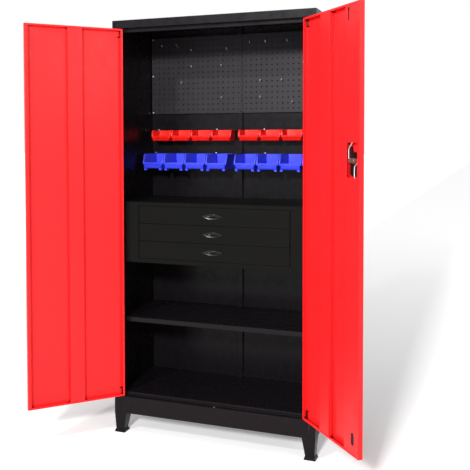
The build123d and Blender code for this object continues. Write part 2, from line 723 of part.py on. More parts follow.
def drawer_runners(number):
    """The two sliding members on a tray's sides: a bar in the channel on a neck and a side plate."""
    z = runner_height(number)
    bar_half = RUNNER_CHANNEL_HEIGHT / 2 - SHEET - RUNNER_CLEARANCE
    bar_outer = PARTITION_FACE - SHEET - RUNNER_CLEARANCE - SHEET
    neck_half = RUNNER_NECK_HEIGHT / 2
    plate = TRAY_HALF + SHEET
    outline = Polyline(
        (-TRAY_HALF, z - bar_half),
        (-plate, z - bar_half),
        (-plate, z - neck_half),
        (-CHANNEL_FACE, z - neck_half),
        (-CHANNEL_FACE, z - bar_half),
        (-bar_outer, z - bar_half),
        (-bar_outer, z + bar_half),
        (-CHANNEL_FACE, z + bar_half),
        (-CHANNEL_FACE, z + neck_half),
        (-plate, z + neck_half),
        (-plate, z + bar_half),
        (-TRAY_HALF, z + bar_half),
        close=True,
    )
    front = TRAY_FRONT + RUNNER_CLEARANCE
    runner = extrude(Plane.XZ.offset(-front - RUNNER_LENGTH) * make_face(outline), amount=RUNNER_LENGTH)
    return [runner, mirror(runner, about=Plane.YZ)]


def pull_height(number):
    """Middle height of a drawer's pull."""
    return drawer_base(number) + DRAWER_HEIGHT / 2


def lens(width, height):
    """Corners of a lens shape between two shallow curves, drawn with flats."""
    xs = [width * (step / LENS_STEPS - 1 / 2) for step in range(LENS_STEPS + 1)]
    upper = [(x, height / 2 * (1 - (2 * x / width) ** 2)) for x in xs]
    return upper + [(x, -z) for x, z in upper[-2:0:-1]]


def lens_face(width, height):
    """A lens shape as a face."""
    return make_face(Polyline(*lens(width, height), close=True))


def lens_block(width, height, share, y0, y1, z):
    """A solid that starts as a lens shape at y0 and is drawn in to a share of it at y1."""
    corners = lens(width, height)
    start = [(x, y0, z + rise) for x, rise in corners]
    return drafted(start, [(x * share, y1, z + rise * share) for x, rise in corners])


def drawer_front(number):
    """A drawer front: a shallow pan with its edges turned back and a cut-out for the pull."""
    base = drawer_base(number)
    top = base + DRAWER_HEIGHT
    pan = block(-DRAWER_HALF, DRAWER_HALF, CHEST_FACE, TRAY_FRONT, base, top)
    inside = DRAWER_HALF - SHEET
    pan -= block(-inside, inside, CHEST_FACE + SHEET, TRAY_FRONT + OVERRUN, base + SHEET, top - SHEET)
    cut_out = lens_face(CUP_WIDTH + 2 * PULL_CLEARANCE, CUP_HEIGHT + 2 * PULL_CLEARANCE)
    return pan - across(cut_out, 0, pull_height(number), CHEST_FACE - OVERRUN, CHEST_FACE + OVERRUN)


def drawer_tray(number):
    """The open tray behind a drawer front."""
    base = drawer_base(number) + TRAY_RISE
    rear = TRAY_FRONT + TRAY_DEPTH
    top = base + TRAY_HEIGHT
    tray = block(-TRAY_HALF, TRAY_HALF, TRAY_FRONT, rear, base, top)
    inside = TRAY_HALF - SHEET
    return tray - block(-inside, inside, TRAY_FRONT + SHEET, rear - SHEET, base + SHEET, top + OVERRUN)


def drawer_pull(number):
    """A flush pull: a lens-shaped bezel whose upper half is a hood over a finger cup."""
    z = pull_height(number)
    inside_width = CUP_WIDTH - 2 * PULL_WALL
    inside_height = CUP_HEIGHT - 2 * PULL_WALL
    inside_depth = CUP_DEPTH - CUP_FLOOR
    inside_share = 1 - (1 - CUP_BACK_SHARE) * inside_depth / CUP_DEPTH
    below_hood = Pos(0, HOOD_EDGE - CUP_HEIGHT / 2) * Rectangle(CUP_WIDTH, CUP_HEIGHT)
    pull = lens_block(PULL_WIDTH, PULL_HEIGHT, PULL_FACE_SHARE, CHEST_FACE, CHEST_FACE - PULL_REACH, z)
    pull += lens_block(CUP_WIDTH, CUP_HEIGHT, CUP_BACK_SHARE, CHEST_FACE, CHEST_FACE + CUP_DEPTH, z)
    pull -= lens_block(inside_width, inside_height, inside_share, CHEST_FACE, CHEST_FACE + inside_depth, z)
    mouth = lens_face(inside_width, inside_height) & below_hood
    return pull - across(mouth, 0, z, CHEST_FACE - PULL_REACH - OVERRUN, CHEST_FACE)


def hang(side, piece):
    """A door piece, drawn from the hinge edge and the outer face, set in the left (-1) or right (1) door."""
    if side > 0:
        piece = mirror(piece, about=Plane.YZ)
    pin = Pos(side * PIN_X, PIN_Y, 0)
    shut = Pos(side * (DOOR_EDGE - PIN_X), FRONT - PIN_Y, 0) * piece
    opened = RIGHT_OPEN_ANGLE if side > 0 else -LEFT_OPEN_ANGLE
    return pin * Rot(0, 0, opened) * shut


def door_skin():
    """A door's outer sheet folded into a pan with lips, with holes for the hinge pins in its ends."""
    outer = block(0, DOOR_WIDTH, 0, DOOR_DEPTH, DOOR_BASE, DOOR_TOP)
    outer = chamfer(outer.edges().filter_by(Axis.Z).group_by(Axis.Y)[0], DOOR_BEVEL)
    hollow = block(SHEET, DOOR_WIDTH - SHEET, SHEET, DOOR_DEPTH - SHEET, DOOR_BASE + SHEET, DOOR_TOP - SHEET)
    hollow = chamfer(hollow.edges().filter_by(Axis.Z).group_by(Axis.Y)[0], DOOR_BEVEL - SHEET / 2)
    mouth = block(LIP_HINGE, DOOR_WIDTH - LIP_FREE, DOOR_DEPTH - SHEET - OVERRUN, DOOR_DEPTH + OVERRUN,
                  DOOR_BASE + LIP_END, DOOR_TOP - LIP_END)
    skin = outer - hollow - mouth
    for z in (DOOR_TOP, DOOR_BASE):
        skin -= square_hole(PIN_FROM_EDGE, PIN_FROM_FACE, PIN_RADIUS + PIN_CLEARANCE, z - OVERRUN, z + OVERRUN)
    return skin


def door_pins():
    """The upper and lower hinge pin of a door, each with a turned tail inside the pan."""
    pins = []
    tail_half = PIN_TAIL_WIDTH / 2
    for end, way in ((DOOR_TOP, 1), (DOOR_BASE, -1)):
        tip = end + way * (DOOR_END_GAP + SHEET + PIN_ENGAGEMENT)
        foot = end - way * PIN_LENGTH
        low, high = sorted((tip, foot))
        pin = upright(Circle(PIN_RADIUS), PIN_FROM_EDGE, PIN_FROM_FACE, low, high)
        pin += block(PIN_FROM_EDGE, PIN_FROM_EDGE + PIN_TAIL, PIN_FROM_FACE - tail_half,
                     PIN_FROM_FACE + tail_half, foot, foot + way * PIN_TAIL_WIDTH)
        pins.append(pin)
    return pins


def door_stiffener(start, width):
    """A hat-shaped channel on the inside of a door skin, level with the lips."""
    foot = 2 * SHEET
    line = [
        (start - STIFFENER_FLANGE, foot),
        (start, foot),
        (start, STILE_FACE),
        (start + width, STILE_FACE),
        (start + width, foot),
        (start + width + STIFFENER_FLANGE, foot),
    ]
    length = DOOR_TOP - DOOR_BASE - 2 * SHEET
    return folded(line, Side.RIGHT, Plane.XY.offset(DOOR_BASE + SHEET), length)


def right_door_skin():
    """The right door's skin, with holes for the handle's spindle and the lock rods."""
    skin = door_skin()
    skin -= across(round_hole(SPINDLE_RADIUS + SPINDLE_SKIN_GAP), LOCK_ACROSS, LOCK_HEIGHT, -OVERRUN, OVERRUN)
    rod_half = ROD_RADIUS + ROD_HOLE_CLEARANCE
    for u, z in ((UPPER_ROD_ACROSS, DOOR_TOP), (LOWER_ROD_ACROSS, DOOR_BASE)):
        skin -= square_hole(u, ROD_DEPTH, rod_half, z - OVERRUN, z + OVERRUN)
    return skin


def plate_slot(u, z, width, height):
    """An upright round-ended cutter through the lock stile's plate."""
    reach = (height - width) / 2
    outline = Rot(0, 0, 90) * flat_bar(-reach, width / 2, reach, width / 2)
    return across(outline, u, z, STILE_FACE - OVERRUN, STILE_FACE + OVERRUN)


def lock_stile():
    """The wide channel along the right door's free edge, with the lock window and two slots."""
    foot = 2 * SHEET
    line = [
        (STILE_FROM - STIFFENER_FLANGE, foot),
        (STILE_FROM, foot),
        (STILE_FROM, STILE_FACE),
        (DOOR_WIDTH - SHEET, STILE_FACE),
    ]
    length = DOOR_TOP - DOOR_BASE - 2 * SHEET
    stile = folded(line, Side.RIGHT, Plane.XY.offset(DOOR_BASE + SHEET), length)
    stile -= block(LOCK_ACROSS - WINDOW_SIDE, LOCK_ACROSS + WINDOW_SIDE, STILE_FACE - OVERRUN,
                   STILE_FACE + OVERRUN, LOCK_HEIGHT - WINDOW_BELOW, LOCK_HEIGHT + WINDOW_ABOVE)
    stile -= plate_slot(GRIP_SLOT_ACROSS, DOOR_BASE + GRIP_SLOT_RISE, GRIP_SLOT_WIDTH, GRIP_SLOT_HEIGHT)
    stile -= plate_slot(PEEP_SLOT_ACROSS, DOOR_TOP - PEEP_SLOT_DROP, PEEP_SLOT_WIDTH, PEEP_SLOT_HEIGHT)
    return stile


def lock_body():
    """The lock case on the inside of the skin and the handle's plate on the outside."""
    case = block(LOCK_ACROSS - CASE_LEFT, LOCK_ACROSS + CASE_RIGHT, SHEET, SHEET + CASE_DEPTH,
                 LOCK_HEIGHT - CASE_BELOW, LOCK_HEIGHT + CASE_ABOVE)
    plate = across(RegularPolygon(PLATE_RADIUS, PLATE_SIDES), LOCK_ACROSS, LOCK_HEIGHT, -PLATE_THICKNESS, 0)
    bore = across(round_hole(SPINDLE_RADIUS + SPINDLE_CLEARANCE), LOCK_ACROSS, LOCK_HEIGHT,
                  -PLATE_THICKNESS - OVERRUN, SHEET + CASE_DEPTH + OVERRUN)
    return [case - bore, plate - bore]


def lock_handle():
    """A lever handle and its spindle, lying level and pointing to the hinge side."""
    neck_foot = -PLATE_THICKNESS - HANDLE_GAP
    neck_top = neck_foot - HANDLE_NECK
    outline = flat_bar(-HANDLE_LENGTH, HANDLE_TIP_RADIUS, 0, HANDLE_HUB_RADIUS)
    lever = across(outline, LOCK_ACROSS, LOCK_HEIGHT, neck_top - HANDLE_THICKNESS, neck_top)
    lever = chamfer(lever.edges().group_by(Axis.Y)[0], HANDLE_BEVEL)
    neck = across(round_bar(HANDLE_NECK_RADIUS), LOCK_ACROSS, LOCK_HEIGHT, neck_top, neck_foot)
    spindle = across(Circle(SPINDLE_RADIUS), LOCK_ACROSS, LOCK_HEIGHT, neck_foot, CAM_BACK)
    return lever + neck + spindle


def lock_cam():
    """The cam on the spindle's end, with a crank pin for each rod."""
    tip = CAM_TIP_WIDTH / 2
    hub = CAM_WIDTH / 2
    outline = flat_bar(-CAM_ARM, tip, 0, hub) + flat_bar(0, hub, CAM_ARM, tip)
    cam_face = CAM_BACK + CAM_THICKNESS
    cam = across(outline, LOCK_ACROSS, LOCK_HEIGHT, CAM_BACK, cam_face)
    cam += across(round_bar(CAM_HUB_RADIUS), LOCK_ACROSS, LOCK_HEIGHT, cam_face, cam_face + CAM_HUB_HEIGHT)
    for sign in (-1, 1):
        cam += across(round_bar(CRANK_PIN_RADIUS), LOCK_ACROSS + sign * CAM_ARM, LOCK_HEIGHT,
                      ROD_DEPTH - ROD_RADIUS, CAM_BACK)
    return cam


def lock_rod(way):
    """The upper (1) or lower (-1) lock rod: a slotted eye on a crank pin, a cranked rod and its free end."""
    eye_across = LOCK_ACROSS - way * CAM_ARM
    run_across = UPPER_ROD_ACROSS if way > 0 else LOWER_ROD_ACROSS
    door_end = DOOR_TOP if way > 0 else DOOR_BASE
    slot_half = CRANK_PIN_RADIUS + EYE_END_PLAY
    outer_end = CRANK_PIN_RADIUS + EYE_SIDE_PLAY
    inner_end = outer_end + CRANK_SIDE_TRAVEL
    near = eye_across - way * outer_end
    far = eye_across + way * inner_end
    y0 = ROD_DEPTH - EYE_DEPTH / 2
    y1 = ROD_DEPTH + EYE_DEPTH / 2
    eye = block(near - way * EYE_WALL, far + way * EYE_WALL, y0, y1,
                LOCK_HEIGHT - slot_half - EYE_WALL, LOCK_HEIGHT + slot_half + EYE_WALL)
    eye -= block(near, far, y0 - OVERRUN, y1 + OVERRUN, LOCK_HEIGHT - slot_half, LOCK_HEIGHT + slot_half)
    start = LOCK_HEIGHT + way * (slot_half + EYE_WALL / 2)
    crank = start + way * ROD_STRAIGHT
    line = [
        (eye_across, ROD_DEPTH, start),
        (eye_across, ROD_DEPTH, crank),
        (run_across, ROD_DEPTH, crank + way * ROD_CRANK_RISE),
        (run_across, ROD_DEPTH, door_end - way * ROD_END_INSET),
    ]
    return eye + wire(line, round_bar(ROD_RADIUS))


def rod_guides():
    """Moulded guides for the rods at the ends of the stile; the lower one also plugs the grip slot."""
    foot = SHEET
    head = STILE_FACE - SHEET
    top = DOOR_TOP - GUIDE_FROM_END
    half = GUIDE_WIDTH / 2
    upper = block(UPPER_ROD_ACROSS - half, UPPER_ROD_ACROSS + half, foot, head, top - GUIDE_HEIGHT, top)
    plug_half_width = GRIP_SLOT_WIDTH / 2 + GRIP_PLUG_MARGIN
    plug_half_height = GRIP_SLOT_HEIGHT / 2 + GRIP_PLUG_MARGIN
    slot_z = DOOR_BASE + GRIP_SLOT_RISE
    lower = block(GRIP_SLOT_ACROSS - plug_half_width, LOWER_ROD_ACROSS + ROD_RADIUS + EYE_WALL, foot, head,
                  slot_z - plug_half_height, slot_z + plug_half_height)
    bore = ROD_RADIUS + ROD_GUIDE_CLEARANCE
    upper -= square_hole(UPPER_ROD_ACROSS, ROD_DEPTH, bore, top - GUIDE_HEIGHT - OVERRUN, top + OVERRUN)
    lower -= square_hole(LOWER_ROD_ACROSS, ROD_DEPTH, bore, DOOR_BASE, slot_z + plug_half_height + OVERRUN)
    return [upper, lower]


def screw_head(x, y, z):
    """A six-sided screw head standing forward of a face at y."""
    return across(RegularPolygon(SCREW_RADIUS, SCREW_SIDES), x, z, y - SCREW_HEAD, y)


def panel_screws():
    """Screws down the outer edges of the pegboards and along the bin rails, clear of the bins' hooks."""
    heads = []
    board_heights = (PEG_BASE + SCREW_INSET, PEG_BASE + PEG_HEIGHT / 2, PEG_TOP - SCREW_INSET)
    rail_face = BACK_FACE - SHEET
    for sign in (-1, 1):
        for z in board_heights:
            heads.append(screw_head(sign * (BAY_OUTER - SCREW_INSET), PEG_FACE, z))
        for bin_top, pitch in ((RED_TOP, RED_PITCH), (BLUE_TOP, BLUE_PITCH)):
            z = bin_top + RAIL_ABOVE - SCREW_INSET
            for step in (1, BINS_PER_RAIL):
                heads.append(screw_head(sign * (BAY_INNER + step * pitch), rail_face, z))
    return heads


def cabinet_nodes():
    """Every fixed piece of the cabinet by name."""
    left_side = side_panel()
    left_back, right_back = back_panels()
    corners = [(sign_x, sign_y) for sign_x in (-1, 1) for sign_y in (-1, 1)]
    return {
        "side_panel_left": left_side,
        "side_panel_right": mirror(left_side, about=Plane.YZ),
        "back_panel_left": left_back,
        "back_panel_right": right_back,
        "top_panel": top_panel(),
        "floor_panel": floor_panel(),
        "aprons": aprons(),
        "legs": [leg(*corner) for corner in corners],
        "foot_caps": [foot_cap(*corner) for corner in corners],
        "pegboard_left": pegboard(-1),
        "pegboard_right": pegboard(1),
        "pegboard_hooks": pegboard_hooks(),
        "bin_rails": bin_rails(),
        "shelf": shelf(),
        "shelf_clips": shelf_clips(),
        "chest_shell": chest_shell(),
        "chest_face_frame": chest_face_frame(),
        "chest_runners": chest_runners(),
        "panel_screws": panel_screws(),
    }


def drawer_nodes():
    """The pieces of each drawer by name."""
    nodes = {}
    for number, name in enumerate(DRAWER_NAMES):
        nodes[f"drawer_{name}_front"] = drawer_front(number)
        nodes[f"drawer_{name}_tray"] = drawer_tray(number)
        nodes[f"drawer_{name}_pull"] = drawer_pull(number)
        nodes[f"drawer_{name}_runners"] = drawer_runners(number)
    return nodes


def door_nodes():
    """The pieces of both doors and of the lock by name, swung open."""
    left = {
        "left_door_skin": door_skin(),
        "left_door_stiffener": door_stiffener(LEFT_STIFFENER_FROM, LEFT_STIFFENER_WIDTH),
        "left_door_pins": door_pins(),
    }
    right = {
        "right_door_skin": right_door_skin(),
        "right_door_stiffener": door_stiffener(RIGHT_STIFFENER_FROM, RIGHT_STIFFENER_WIDTH),
        "right_door_pins": door_pins(),
        "right_door_lock_stile": lock_stile(),
        "lock_body": lock_body(),
        "rod_guides": rod_guides(),
        "lock_handle": lock_handle(),
        "lock_cam": lock_cam(),
        "lock_rod_upper": lock_rod(1),
        "lock_rod_lower": lock_rod(-1),
    }
    nodes = {}
    for side, pieces in ((-1, left), (1, right)):
        for name, piece in pieces.items():
            solids = piece if isinstance(piece, list) else [piece]
            nodes[name] = [hang(side, solid) for solid in solids]
    return nodes


def main():
    """Build every node and write it to its own file."""
    os.makedirs("parts", exist_ok=True)
    nodes = {**cabinet_nodes(), **drawer_nodes(), **door_nodes(), **bins()}
    for name, piece in nodes.items():
        shape = Compound(children=piece) if isinstance(piece, list) and len(piece) > 1 else piece
        if isinstance(shape, list):
            shape = shape[0]
        export_step(shape, f"parts/{name}.step")
    print(len(nodes), "nodes")


main()
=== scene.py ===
"""Looks of a two-door steel tool cabinet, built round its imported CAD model.

Lengths are metres in the model's own frame: the floor is z = 0, the doors are on the -Y side.
"""

from __future__ import annotations

import json
import logging
import math
from collections.abc import Sequence
from dataclasses import dataclass, field
from enum import Enum

import bmesh
import bpy
from mathutils import Matrix, Vector

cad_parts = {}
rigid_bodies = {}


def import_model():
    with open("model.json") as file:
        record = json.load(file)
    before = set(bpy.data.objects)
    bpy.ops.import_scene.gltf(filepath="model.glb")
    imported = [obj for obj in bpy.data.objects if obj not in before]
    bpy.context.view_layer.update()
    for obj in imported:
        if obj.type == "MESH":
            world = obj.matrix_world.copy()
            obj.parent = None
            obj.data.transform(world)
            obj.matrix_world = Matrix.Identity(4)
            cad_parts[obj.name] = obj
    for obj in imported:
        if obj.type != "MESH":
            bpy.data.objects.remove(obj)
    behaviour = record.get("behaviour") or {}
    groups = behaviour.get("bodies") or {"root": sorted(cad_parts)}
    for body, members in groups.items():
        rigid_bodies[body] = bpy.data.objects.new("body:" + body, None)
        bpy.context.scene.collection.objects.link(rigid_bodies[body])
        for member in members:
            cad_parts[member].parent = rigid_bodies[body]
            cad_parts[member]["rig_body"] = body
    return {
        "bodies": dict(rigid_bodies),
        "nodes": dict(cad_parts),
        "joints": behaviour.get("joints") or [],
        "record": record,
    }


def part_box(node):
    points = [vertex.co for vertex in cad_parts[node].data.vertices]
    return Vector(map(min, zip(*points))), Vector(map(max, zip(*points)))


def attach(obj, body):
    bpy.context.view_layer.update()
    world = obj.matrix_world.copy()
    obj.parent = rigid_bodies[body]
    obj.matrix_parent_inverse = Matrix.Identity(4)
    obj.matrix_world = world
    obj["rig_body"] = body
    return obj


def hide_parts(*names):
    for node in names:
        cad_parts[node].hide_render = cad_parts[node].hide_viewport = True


LOG = logging.getLogger("tool_cabinet")
MM = 0.001
SHEET_EDGE = 0.3 * MM
# Distances under which points are one, in a CAD mesh and in a piece made here
CAD_WELD = 0.001 * MM
SKIN_WELD = 0.002 * MM
# Signs of both coordinates in the four quarters, anticlockwise
QUARTERS = ((1, 1), (-1, 1), (-1, -1), (1, -1))
DRAWERS = ("bottom", "middle", "top")
Colour = tuple[float, float, float]
Point = tuple[float, float, float]
Flat = tuple[float, float]
Row = Sequence[Sequence[float]]
Socket = bpy.types.NodeSocket
Material = bpy.types.Material
Piece = bpy.types.Object


class Slot(Enum):
    """The material slots that the record names."""

    CARCASS = "carcass_black"
    PEGBOARD = "pegboard_grey"
    DOOR = "door_red"
    RED_BIN = "red_plastic"
    BLUE_BIN = "blue_plastic"
    ZINC = "zinc_steel"
    CHROME = "bright_chrome"
    MOULDED = "black_plastic"


class Variant(Enum):
    """Finishes of single pieces that differ from their slot's own."""

    # The carcass paint made darker and less glossy for the chest inside, as painted shade, with a greener
    # tone of its own
    CHEST = "chest_black"
    PULL = "pull_black"
    CAM = "dark_zinc"


class Side(Enum):
    """The two sides of the cabinet, by the sign of x."""

    LEFT = -1
    RIGHT = 1


def mm(*rows: Sequence[float]) -> tuple[tuple[float, ...], ...]:
    """Rows of lengths, from millimetres."""
    return tuple(tuple(value * MM for value in row) for row in rows)


class Wiring:
    """A node tree with short ways to add and join nodes."""

    def __init__(self, tree: bpy.types.NodeTree) -> None:
        """Work on a tree.

        Args:
            tree: The tree of a material or a world.
        """
        self.tree = tree

    def feed(self, socket: Socket, value: object) -> None:
        """Link a socket from another one, or give it a plain value.

        Args:
            socket: The socket that takes the value.
            value: A socket, or a value of the kind that the first one holds.
        """
        if isinstance(value, Socket):
            self.tree.links.new(value, socket)
        else:
            socket.default_value = value

    def node(self, kind: str, **values: object) -> bpy.types.Node:
        """Add a node and set its sockets by name, or its settings where it has no such socket.

        Args:
            kind: The node's type without its ShaderNode prefix.
            values: Socket values, sockets to link from, or settings; an underscore stands for a space.

        Returns:
            The new node.
        """
        made = self.tree.nodes.new("ShaderNode" + kind)
        for name, value in values.items():
            socket = made.inputs.get(name.replace("_", " "))
            if socket is None:
                setattr(made, name, value)
            else:
                self.feed(socket, value)
        return made

    def ranged(self, value: Socket, source: Flat, target: Flat) -> Socket:
        """Map a value from one range to another."""
        ends = {"From_Min": source[0], "From_Max": source[1], "To_Min": target[0], "To_Max": target[1]}
        return self.node("MapRange", Value=value, **ends).outputs["Result"]

    def reckon(self, operation: str, *values: Socket | float) -> Socket:
        """Reckon with one or two values.

        Args:
            operation: The Math node's operation.
            values: The values, each a socket or a number.

        Returns:
            The result.
        """
        made = self.node("Math", operation=operation)
        for value, socket in zip(values, made.inputs):
            self.feed(socket, value)
        return made.outputs["Value"]

    def looked_at(self) -> Socket:
        """Tell apart the rays that look at a surface from those that only carry light.

        Returns:
            One for a ray from the camera, off a shiny surface or through glass, and zero for others.
        """
        rays = self.node("LightPath").outputs
        seen = self.reckon("MAXIMUM", rays["Is Camera Ray"], rays["Is Glossy Ray"])
        return self.reckon("MAXIMUM", seen, rays["Is Transmission Ray"])


class NodeSheet(Wiring):
    """A material's node tree, which ends in one shader."""

    # Where most values of a noise pattern lie, and the weight of its finer octaves
    noise_middle: Flat = (0.3, 0.7)
    noise_detail: float = 0.55

    def __init__(self, name: str) -> None:
        """Start a material.

        Args:
            name: The material's name.
        """
        self.material = bpy.data.materials.new(name)
        self.material.use_nodes = True
        super().__init__(self.material.node_tree)
        self.shader = next(node for node in self.tree.nodes if node.type == "BSDF_PRINCIPLED")
        self.place = self.node("TexCoord").outputs["Object"]

    def set(self, **values: object) -> None:
        """Set or link sockets of the shader; an underscore in a name stands for a space."""
        for name, value in values.items():
            self.feed(self.shader.inputs[name.replace("_", " ")], value)

    def stretched(self, scale: Point) -> Socket:
        """Give the surface's own coordinates, scaled differently along each axis."""
        return self.node("Mapping", Vector=self.place, Scale=scale).outputs["Vector"]

    def noise(self, scale: float, detail: float, place: Socket | None = None) -> Socket:
        """Add a noise pattern.

        Args:
            scale: Features per metre.
            detail: Octaves of finer detail.
            place: Coordinates, or the plain ones where none are given.

        Returns:
            The pattern's value, from 0 to 1.
        """
        spot = place or self.place
        made = self.node("TexNoise", Vector=spot, Scale=scale, Detail=detail, Roughness=self.noise_detail)
        return made.outputs["Fac"]

    def between(self, value: Socket, low: float, high: float) -> Socket:
        """Map the middle of a noise pattern to a range."""
        return self.ranged(value, self.noise_middle, (low, high))

    def tint(self, factor: Socket, *ends: Colour | Socket) -> Socket:
        """Mix two colours.

        Args:
            factor: Share of the second colour.
            ends: The colours, each written out or from a socket.

        Returns:
            The mixed colour.
        """
        made = self.node("Mix", data_type="RGBA", Factor=factor)
        for name, end in zip("AB", ends):
            socket = next(each for each in made.inputs if each.name == name and each.type == "RGBA")
            self.feed(socket, end if isinstance(end, Socket) else (*end, 1))
        return next(each for each in made.outputs if each.type == "RGBA")

    def bump(self, height: Socket, strength: float, distance: float, fold: float = 0.0) -> Socket:
        """Turn a height pattern into a bump.

        Args:
            height: The pattern.
            strength: How much of it shows.
            distance: The depth of the pattern.
            fold: Radius of the shaded rounding of sharp edges, or zero for none.

        Returns:
            The direction of the bumped surface.
        """
        made = self.node("Bump", Height=height, Strength=strength, Distance=distance)
        if fold:
            self.feed(made.inputs["Normal"], self.node("Bevel", samples=4, Radius=fold).outputs["Normal"])
        return made.outputs["Normal"]


@dataclass(frozen=True)
class Finish:
    """What every finish has: the slot or variant that it is for, its colour and its roughness."""

    key: Slot | Variant
    colour: Colour
    roughness: float

    def shade(self, share: float) -> Colour:
        """The colour made lighter or darker by a share."""
        return tuple(min(1.0, channel * share) for channel in self.colour)

    def uneven(self, sheet: NodeSheet, grain: Flat, spread: Flat) -> Socket:
        """Roughness that varies in a grain, from a spread below the finish's own to one above it."""
        return sheet.between(sheet.noise(*grain), self.roughness - spread[0], self.roughness + spread[1])

    def material(self) -> Material:
        """Build the material, which each kind of finish does in its own way."""
        raise NotImplementedError


@dataclass(frozen=True)
class PowderCoat(Finish):
    """Baked powder coat on sheet steel, with its fine orange-peel skin, uneven gloss and soft folds.

    Each grain is in features per metre and octaves. The corner is the reach within which a nearby sheet
    darkens the colour as painted shade in corners and under lips; the painted shade's depth and the range of
    open sky over which it fades follow it.
    """

    gloss: float = 0.4
    cloud_grain: Flat = (3.5, 4)
    mottle: float = 0.08
    matt_grain: Flat = (26, 3)
    matt_spread: Flat = (0.05, 0.06)
    peel_grain: Flat = (700, 2)
    peel: float = 0.12
    peel_depth: float = 0.4 * MM
    fold: float = 2.0 * MM
    # Painted shade in corners: its reach, its darkest share of the colour, and the range of open sky over
    # which it fades
    corner: float = 0.0
    painted_shade_share: float = 0.16
    painted_shade_sky: Flat = (0.44, 0.75)

    def material(self) -> Material:
        """Build the coat's material, with shade painted into the colour where sheets meet in a corner.

        Returns:
            The material.
        """
        sheet = NodeSheet(self.key.value)
        cloud = sheet.between(sheet.noise(*self.cloud_grain), 0, 1)
        coat = sheet.tint(cloud, self.shade(1 - self.mottle), self.shade(1 + self.mottle))
        # Painted shade: ambient occlusion darkens the coat's colour near other sheets, where shade falls in
        # corners and under lips
        if self.corner:
            sky = sheet.node("AmbientOcclusion", samples=8, Distance=self.corner).outputs["AO"]
            coat = sheet.tint(sheet.ranged(sky, self.painted_shade_sky, (0, 1)), self.shade(self.painted_shade_share), coat)
        sheet.set(
            Base_Color=coat,
            Roughness=self.uneven(sheet, self.matt_grain, self.matt_spread),
            Normal=sheet.bump(sheet.noise(*self.peel_grain), self.peel, self.peel_depth, self.fold),
            Specular_IOR_Level=self.gloss,
        )
        return sheet.material


@dataclass(frozen=True)
class MouldedPlastic(Finish):
    """Injection-moulded plastic with a faint flow, a fine grain and soft gloss."""

    grain: float = 0.08
    gloss: float = 0.36
    flow_grain: Flat = (14, 3)
    flow_stretch: Point = (1, 1, 0.4)
    flow_shades: Flat = (0.93, 1.06)
    matt_grain: Flat = (60, 3)
    matt_spread: Flat = (0.04, 0.06)
    skin_grain: Flat = (1600, 2)
    skin_depth: float = 0.2 * MM

    def material(self) -> Material:
        """Build the plastic's material.

        Returns:
            The material.
        """
        sheet = NodeSheet(self.key.value)
        flow = sheet.between(sheet.noise(*self.flow_grain, sheet.stretched(self.flow_stretch)), 0, 1)
        sheet.set(
            Base_Color=sheet.tint(flow, *map(self.shade, self.flow_shades)),
            Roughness=self.uneven(sheet, self.matt_grain, self.matt_spread),
            Normal=sheet.bump(sheet.noise(*self.skin_grain), self.grain, self.skin_depth),
            Specular_IOR_Level=self.gloss,
        )
        return sheet.material


@dataclass(frozen=True)
class PlatedSteel(Finish):
    """Bright plated steel, drawn or polished along one direction."""

    drawn: Point = (900, 900, 30)
    streak_grain: Flat = (1, 3)
    streak_shades: Flat = (0.86, 1.05)
    streak_bump: float = 0.05
    streak_depth: float = 0.2 * MM
    matt_grain: Flat = (90, 4)
    matt_spread: Flat = (0.05, 0.10)

    def material(self) -> Material:
        """Build the plating's material.

        Returns:
            The material.
        """
        sheet = NodeSheet(self.key.value)
        streak = sheet.noise(*self.streak_grain, sheet.stretched(self.drawn))
        sheet.set(
            Base_Color=sheet.tint(sheet.between(streak, 0, 1), *map(self.shade, self.streak_shades)),
            Roughness=self.uneven(sheet, self.matt_grain, self.matt_spread),
            Normal=sheet.bump(streak, self.streak_bump, self.streak_depth),
            Metallic=1.0,
        )
        return sheet.material


FINISHES: tuple[Finish, ...] = (
    PowderCoat(Slot.CARCASS, (0.0062, 0.0052, 0.0064), 0.28, gloss=0.11, fold=3.5 * MM),
    PowderCoat(Slot.PEGBOARD, (0.0175, 0.0154, 0.0188), 0.40, gloss=0.18),
    # The door's coat paints shade as darker colour under its lips and beside its stiffener
    PowderCoat(Slot.DOOR, (0.95, 0.015, 0.017), 0.36, gloss=0.24, mottle=0.03, fold=3.0 * MM, corner=15 * MM),
    MouldedPlastic(Slot.RED_BIN, (0.90, 0.012, 0.007), 0.36),
    MouldedPlastic(Slot.BLUE_BIN, (0.042, 0.062, 0.82), 0.34),
    PlatedSteel(Slot.ZINC, (0.66, 0.67, 0.69), 0.30),
    PlatedSteel(Slot.CHROME, (0.80, 0.79, 0.77), 0.16, drawn=(60, 60, 60)),
    MouldedPlastic(Slot.MOULDED, (0.005, 0.005, 0.0055), 0.30, grain=0.05, gloss=0.10),
    # Painted shade: the chest's copy of the carcass paint is darker and less glossy for the shade inside the
    # cabinet
    PowderCoat(Variant.CHEST, (0.0040, 0.0042, 0.0036), 0.32, gloss=0.05, fold=3.5 * MM),
    MouldedPlastic(Variant.PULL, (0.005, 0.005, 0.0055), 0.18, grain=0.03, gloss=0.20),
    PlatedSteel(Variant.CAM, (0.30, 0.25, 0.21), 0.34),
)


def round_edges(piece: Piece, width: float) -> None:
    """Round the sharp edges of a piece with a modifier.

    Args:
        piece: The piece.
        width: Width of the rounding.
    """
    soft = piece.modifiers.new("edges", "BEVEL")
    soft.width = width
    soft.segments = 2
    soft.limit_method = "ANGLE"
    soft.angle_limit = math.radians(30)
    soft.harden_normals = True


